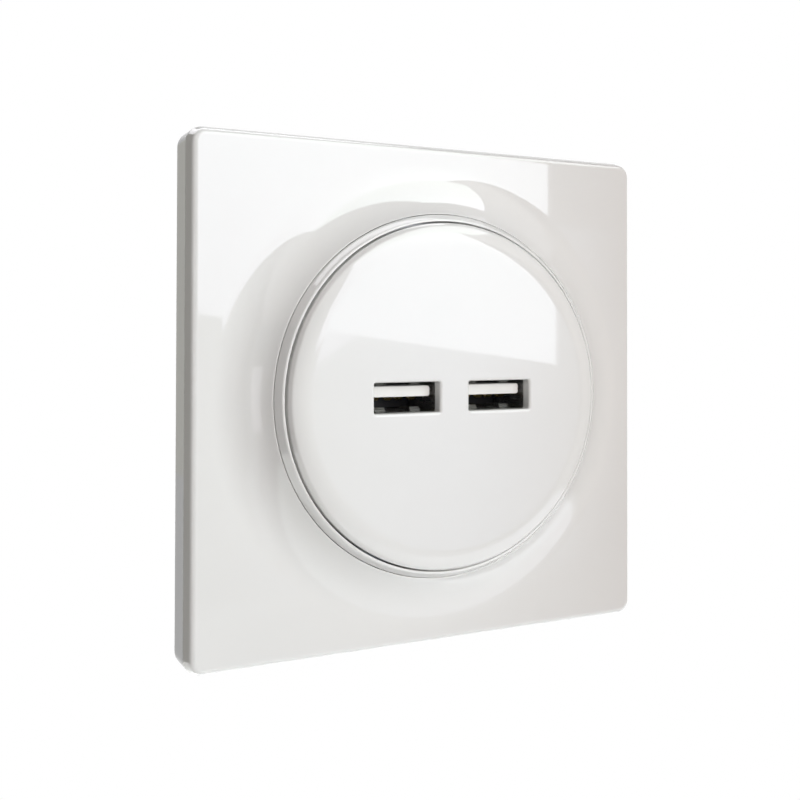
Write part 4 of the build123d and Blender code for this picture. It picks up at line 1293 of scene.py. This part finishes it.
# Dim cards in the mirrored room: outlines in metres and light
CARDS = {
    "left_card": (
        ((-0.75, -0.9, -0.4), (-0.75, -0.9, 0.45), (-0.75, 0.25, 0.45), (-0.75, 0.25, -0.4)),
        (0.69, 0.73, 0.76),
    ),
    "left_rear_card": (
        ((-0.75, 0.25, -0.4), (-0.75, 0.25, 0.45), (-0.75, 0.6, 0.45), (-0.75, 0.6, -0.4)),
        (1.00, 0.99, 0.90),
    ),
    "rear_card": (
        ((-0.75, 0.6, -0.4), (-0.75, 0.6, 1.0), (-0.75, 8.0, 1.0), (-0.75, 8.0, -0.4)),
        (1.00, 0.99, 0.92),
    ),
    "front_card": (
        ((-0.75, -0.9, -0.4), (0.95, -0.9, -0.4), (0.95, -0.9, 0.45), (-0.75, -0.9, 0.45)),
        (0.24, 0.25, 0.27),
    ),
    "floor_card": (
        (
            (-0.75, -0.1, -0.39),
            (-0.627, -0.163, -0.39),
            (-0.109, -0.432, -0.39),
            (0.092, -0.518, -0.39),
            (0.383, -0.58, -0.39),
            (0.88, -0.615, -0.39),
            (0.95, -0.9, -0.39),
            (-0.75, -0.9, -0.39),
        ),
        (0.52, 0.56, 0.60),
    ),
    "right_card": (
        ((0.95, -1.2, -0.4), (0.95, 0.25, -0.4), (0.95, 0.25, 0.45), (0.95, -1.2, 0.45)),
        (0.64, 0.61, 0.58),
    ),
}


def seen_mask(tree):
    """1 for what the camera sees directly, in a mirror or through glass."""
    path = node(tree, "ShaderNodeLightPath")
    mirrored = maths(tree, "MAXIMUM", path["Is Glossy Ray"], path["Is Transmission Ray"])
    return maths(tree, "MAXIMUM", path["Is Camera Ray"], mirrored)


def light_material():
    """Light as strong and as warm as the surface's own values say."""
    material, tree = new_material("panel_light")
    light = node(tree, "ShaderNodeAttribute", attribute_name="light")
    end_material(tree, node(tree, "ShaderNodeEmission", {"Color": light["Color"], "Strength": 1.0}))
    material.cycles.emission_sampling = "NONE"
    return material


def staged(name, data, unseen_by=()):
    """Object of the stage, which some kinds of ray pass by."""
    made = bpy.data.objects.new(name, data)
    bpy.context.scene.collection.objects.link(made)
    for ray in unseen_by:
        setattr(made, "visible_" + ray, False)
    return made


def sheet(name, points, faces, material):
    """Mesh of flat faces with one material."""
    mesh = bpy.data.meshes.new(name)
    mesh.from_pydata(points, [], faces)
    mesh.materials.append(material)
    return mesh


def between(values, across, upward):
    """Value inside a quad, from the values at its lower left, lower right, upper right and upper left."""
    lower = Vector(values[0]).lerp(values[1], across)
    upper = Vector(values[3]).lerp(values[2], across)
    return lower.lerp(upper, upward)


def add_surface(name, points, faces, lights):
    """Shining surface of the mirrored room, which lights nothing and which the camera doesn't see."""
    mesh = sheet(name, points, faces, made_once(light_material))
    values = mesh.attributes.new("light", "FLOAT_COLOR", "POINT")
    for value, light in zip(values.data, lights):
        value.color = (*light, 1.0)
    staged(name, mesh, UNSEEN_SURFACE)


def eased(share):
    """Share that starts and ends gently, so that neighbouring panels meet without a crease."""
    return share**2 * (3 - 2 * share)


def mirrored_panel(name, panel, strength):
    """Panel whose light changes gently from corner to corner."""
    shares = [step / PANEL_CELLS for step in range(PANEL_CELLS + 1)]
    places = [(across, upward) for upward in shares for across in shares]
    points = [between(panel.corners, across, upward) for across, upward in places]
    lights = [between(panel.lights, eased(across), upward) * strength for across, upward in places]
    width = PANEL_CELLS + 1
    faces = []
    for row in range(PANEL_CELLS):
        for step in range(row * width, row * width + PANEL_CELLS):
            faces.append((step, step + 1, step + 1 + width, step + width))
    add_surface(name, points, faces, lights)


def matt_lamp(name, lamp, strength):
    """Square lamp turned to the socket, which lights matt surfaces and isn't mirrored."""
    data = bpy.data.lights.new(name, "AREA")
    data.size = LAMP_SIDE
    data.energy = lamp.watts * strength
    data.color = lamp.colour
    turn = Matrix.Rotation(math.radians(lamp.azimuth), 4, "Z")
    turn = turn @ Matrix.Rotation(QUARTER - math.radians(lamp.elevation), 4, "X")
    placed = staged(name, data, UNSEEN_LAMP)
    placed.matrix_world = turn @ Matrix.Translation((0, 0, LAMP_DISTANCE))


def black_flag():
    """Flag that keeps some of the light off the right side, and is never seen."""
    material, tree = new_material("flag_black")
    end_material(tree, node(tree, "ShaderNodeBsdfDiffuse", {"Color": BLACK}))
    staged("flag", sheet("flag", FLAG, [(0, 1, 2, 3)], material), UNSEEN_FLAG)


def white_floor(depth):
    """Floor that is white to the eye and matt to the light."""
    material, tree = new_material("floor_white")
    matt = node(tree, "ShaderNodeBsdfDiffuse", {"Color": FLOOR_COLOUR})
    glow = node(tree, "ShaderNodeEmission", {"Color": WHITE, "Strength": 1.0})
    end_material(tree, node(tree, "ShaderNodeMixShader", {0: seen_mask(tree), 1: matt[0], 2: glow[0]}))
    reach = FLOOR_REACH
    places = ((-reach, -reach), (reach, -reach), (reach, reach), (-reach, reach))
    corners = [(x, y, -depth) for x, y in places]
    staged("floor", sheet("floor", corners, [(0, 1, 2, 3)], material))


def white_world(ambient):
    """Surround that is white to the eye and lights matt surfaces a little."""
    world = bpy.data.worlds.new("white_surround")
    world.use_nodes = True
    tree = world.node_tree
    tree.nodes.clear()
    strength = node(tree, "ShaderNodeMapRange", {"Value": seen_mask(tree), "To Min": ambient, "To Max": 1.0})
    light = node(tree, "ShaderNodeBackground", {"Color": WHITE, "Strength": strength[0]})
    output = tree.nodes.new("ShaderNodeOutputWorld")
    tree.links.new(light[0], output.inputs["Surface"])
    world.cycles.sampling_method = "NONE"
    bpy.context.scene.world = world


def photo_camera(stage):
    data = bpy.data.cameras.new("camera")
    data.lens = stage.camera_lens
    data.shift_y = stage.camera_shift
    data.clip_start = CLIP_NEAR
    camera = bpy.data.objects.new("camera", data)
    turn = Matrix.Rotation(-stage.camera_yaw, 3, "Z")
    turn = turn @ Matrix.Rotation(QUARTER + stage.camera_pitch, 3, "X")
    turn = turn @ Matrix.Rotation(stage.camera_roll, 3, "Z")
    camera.location = stage.camera_place
    camera.rotation_euler = turn.to_euler()
    bpy.context.scene.collection.objects.link(camera)
    bpy.context.scene.camera = camera


class SetStage(bpy.types.Operator):
    """Set the camera, the lamps, the mirrored panels and cards, the floor and the white surround"""

    bl_idname = "wall_socket.stage"
    bl_label = "Stage"

    def execute(self, context):
        stage = context.scene.wall_socket.stage
        photo_camera(stage)
        white_world(stage.ambient)
        white_floor(stage.floor)
        for name, lamp in LAMPS.items():
            matt_lamp(name, lamp, stage.lamps)
        black_flag()
        for name, panel in PANELS.items():
            mirrored_panel(name, panel, stage.panels)
        for name, (outline, light) in CARDS.items():
            add_surface(name, outline, [tuple(range(len(outline)))], [light] * len(outline))
        context.scene.view_settings.view_transform = "Standard"
        return {"FINISHED"}


OPERATORS = (
    DressCoverPlate,
    DressBezelRing,
    DressFaceCover,
    DressUsbConnectors,
    DressCase,
    DressTerminals,
    DressElectronics,
    SetStage,
)


class WallSocketPanel(bpy.types.Panel):
    """The socket's pieces, its sizes and its stage"""

    bl_idname = "VIEW3D_PT_wall_socket"
    bl_label = "USB Wall Socket"
    bl_space_type = "VIEW_3D"
    bl_region_type = "UI"
    bl_category = "Wall Socket"

    def draw(self, context):
        settings = context.scene.wall_socket
        for operator in OPERATORS:
            self.layout.operator(operator.bl_idname)
        for group_name, group in SETTINGS.items():
            box = self.layout.box()
            box.label(text=group_name.capitalize())
            for key in group.__annotations__:
                box.prop(getattr(settings, group_name), key)


CLASSES = (*SETTINGS.values(), SocketSettings, *OPERATORS, WallSocketPanel)


def register():
    for cls in CLASSES:
        bpy.utils.register_class(cls)
    bpy.types.Scene.wall_socket = PointerProperty(type=SocketSettings)


def unregister():
    del bpy.types.Scene.wall_socket
    for cls in reversed(CLASSES):
        bpy.utils.unregister_class(cls)


def main():
    register()
    for operator in OPERATORS:
        group, name = operator.bl_idname.split(".")
        getattr(getattr(bpy.ops, group), name)()


if __name__ == "__main__":
    main()
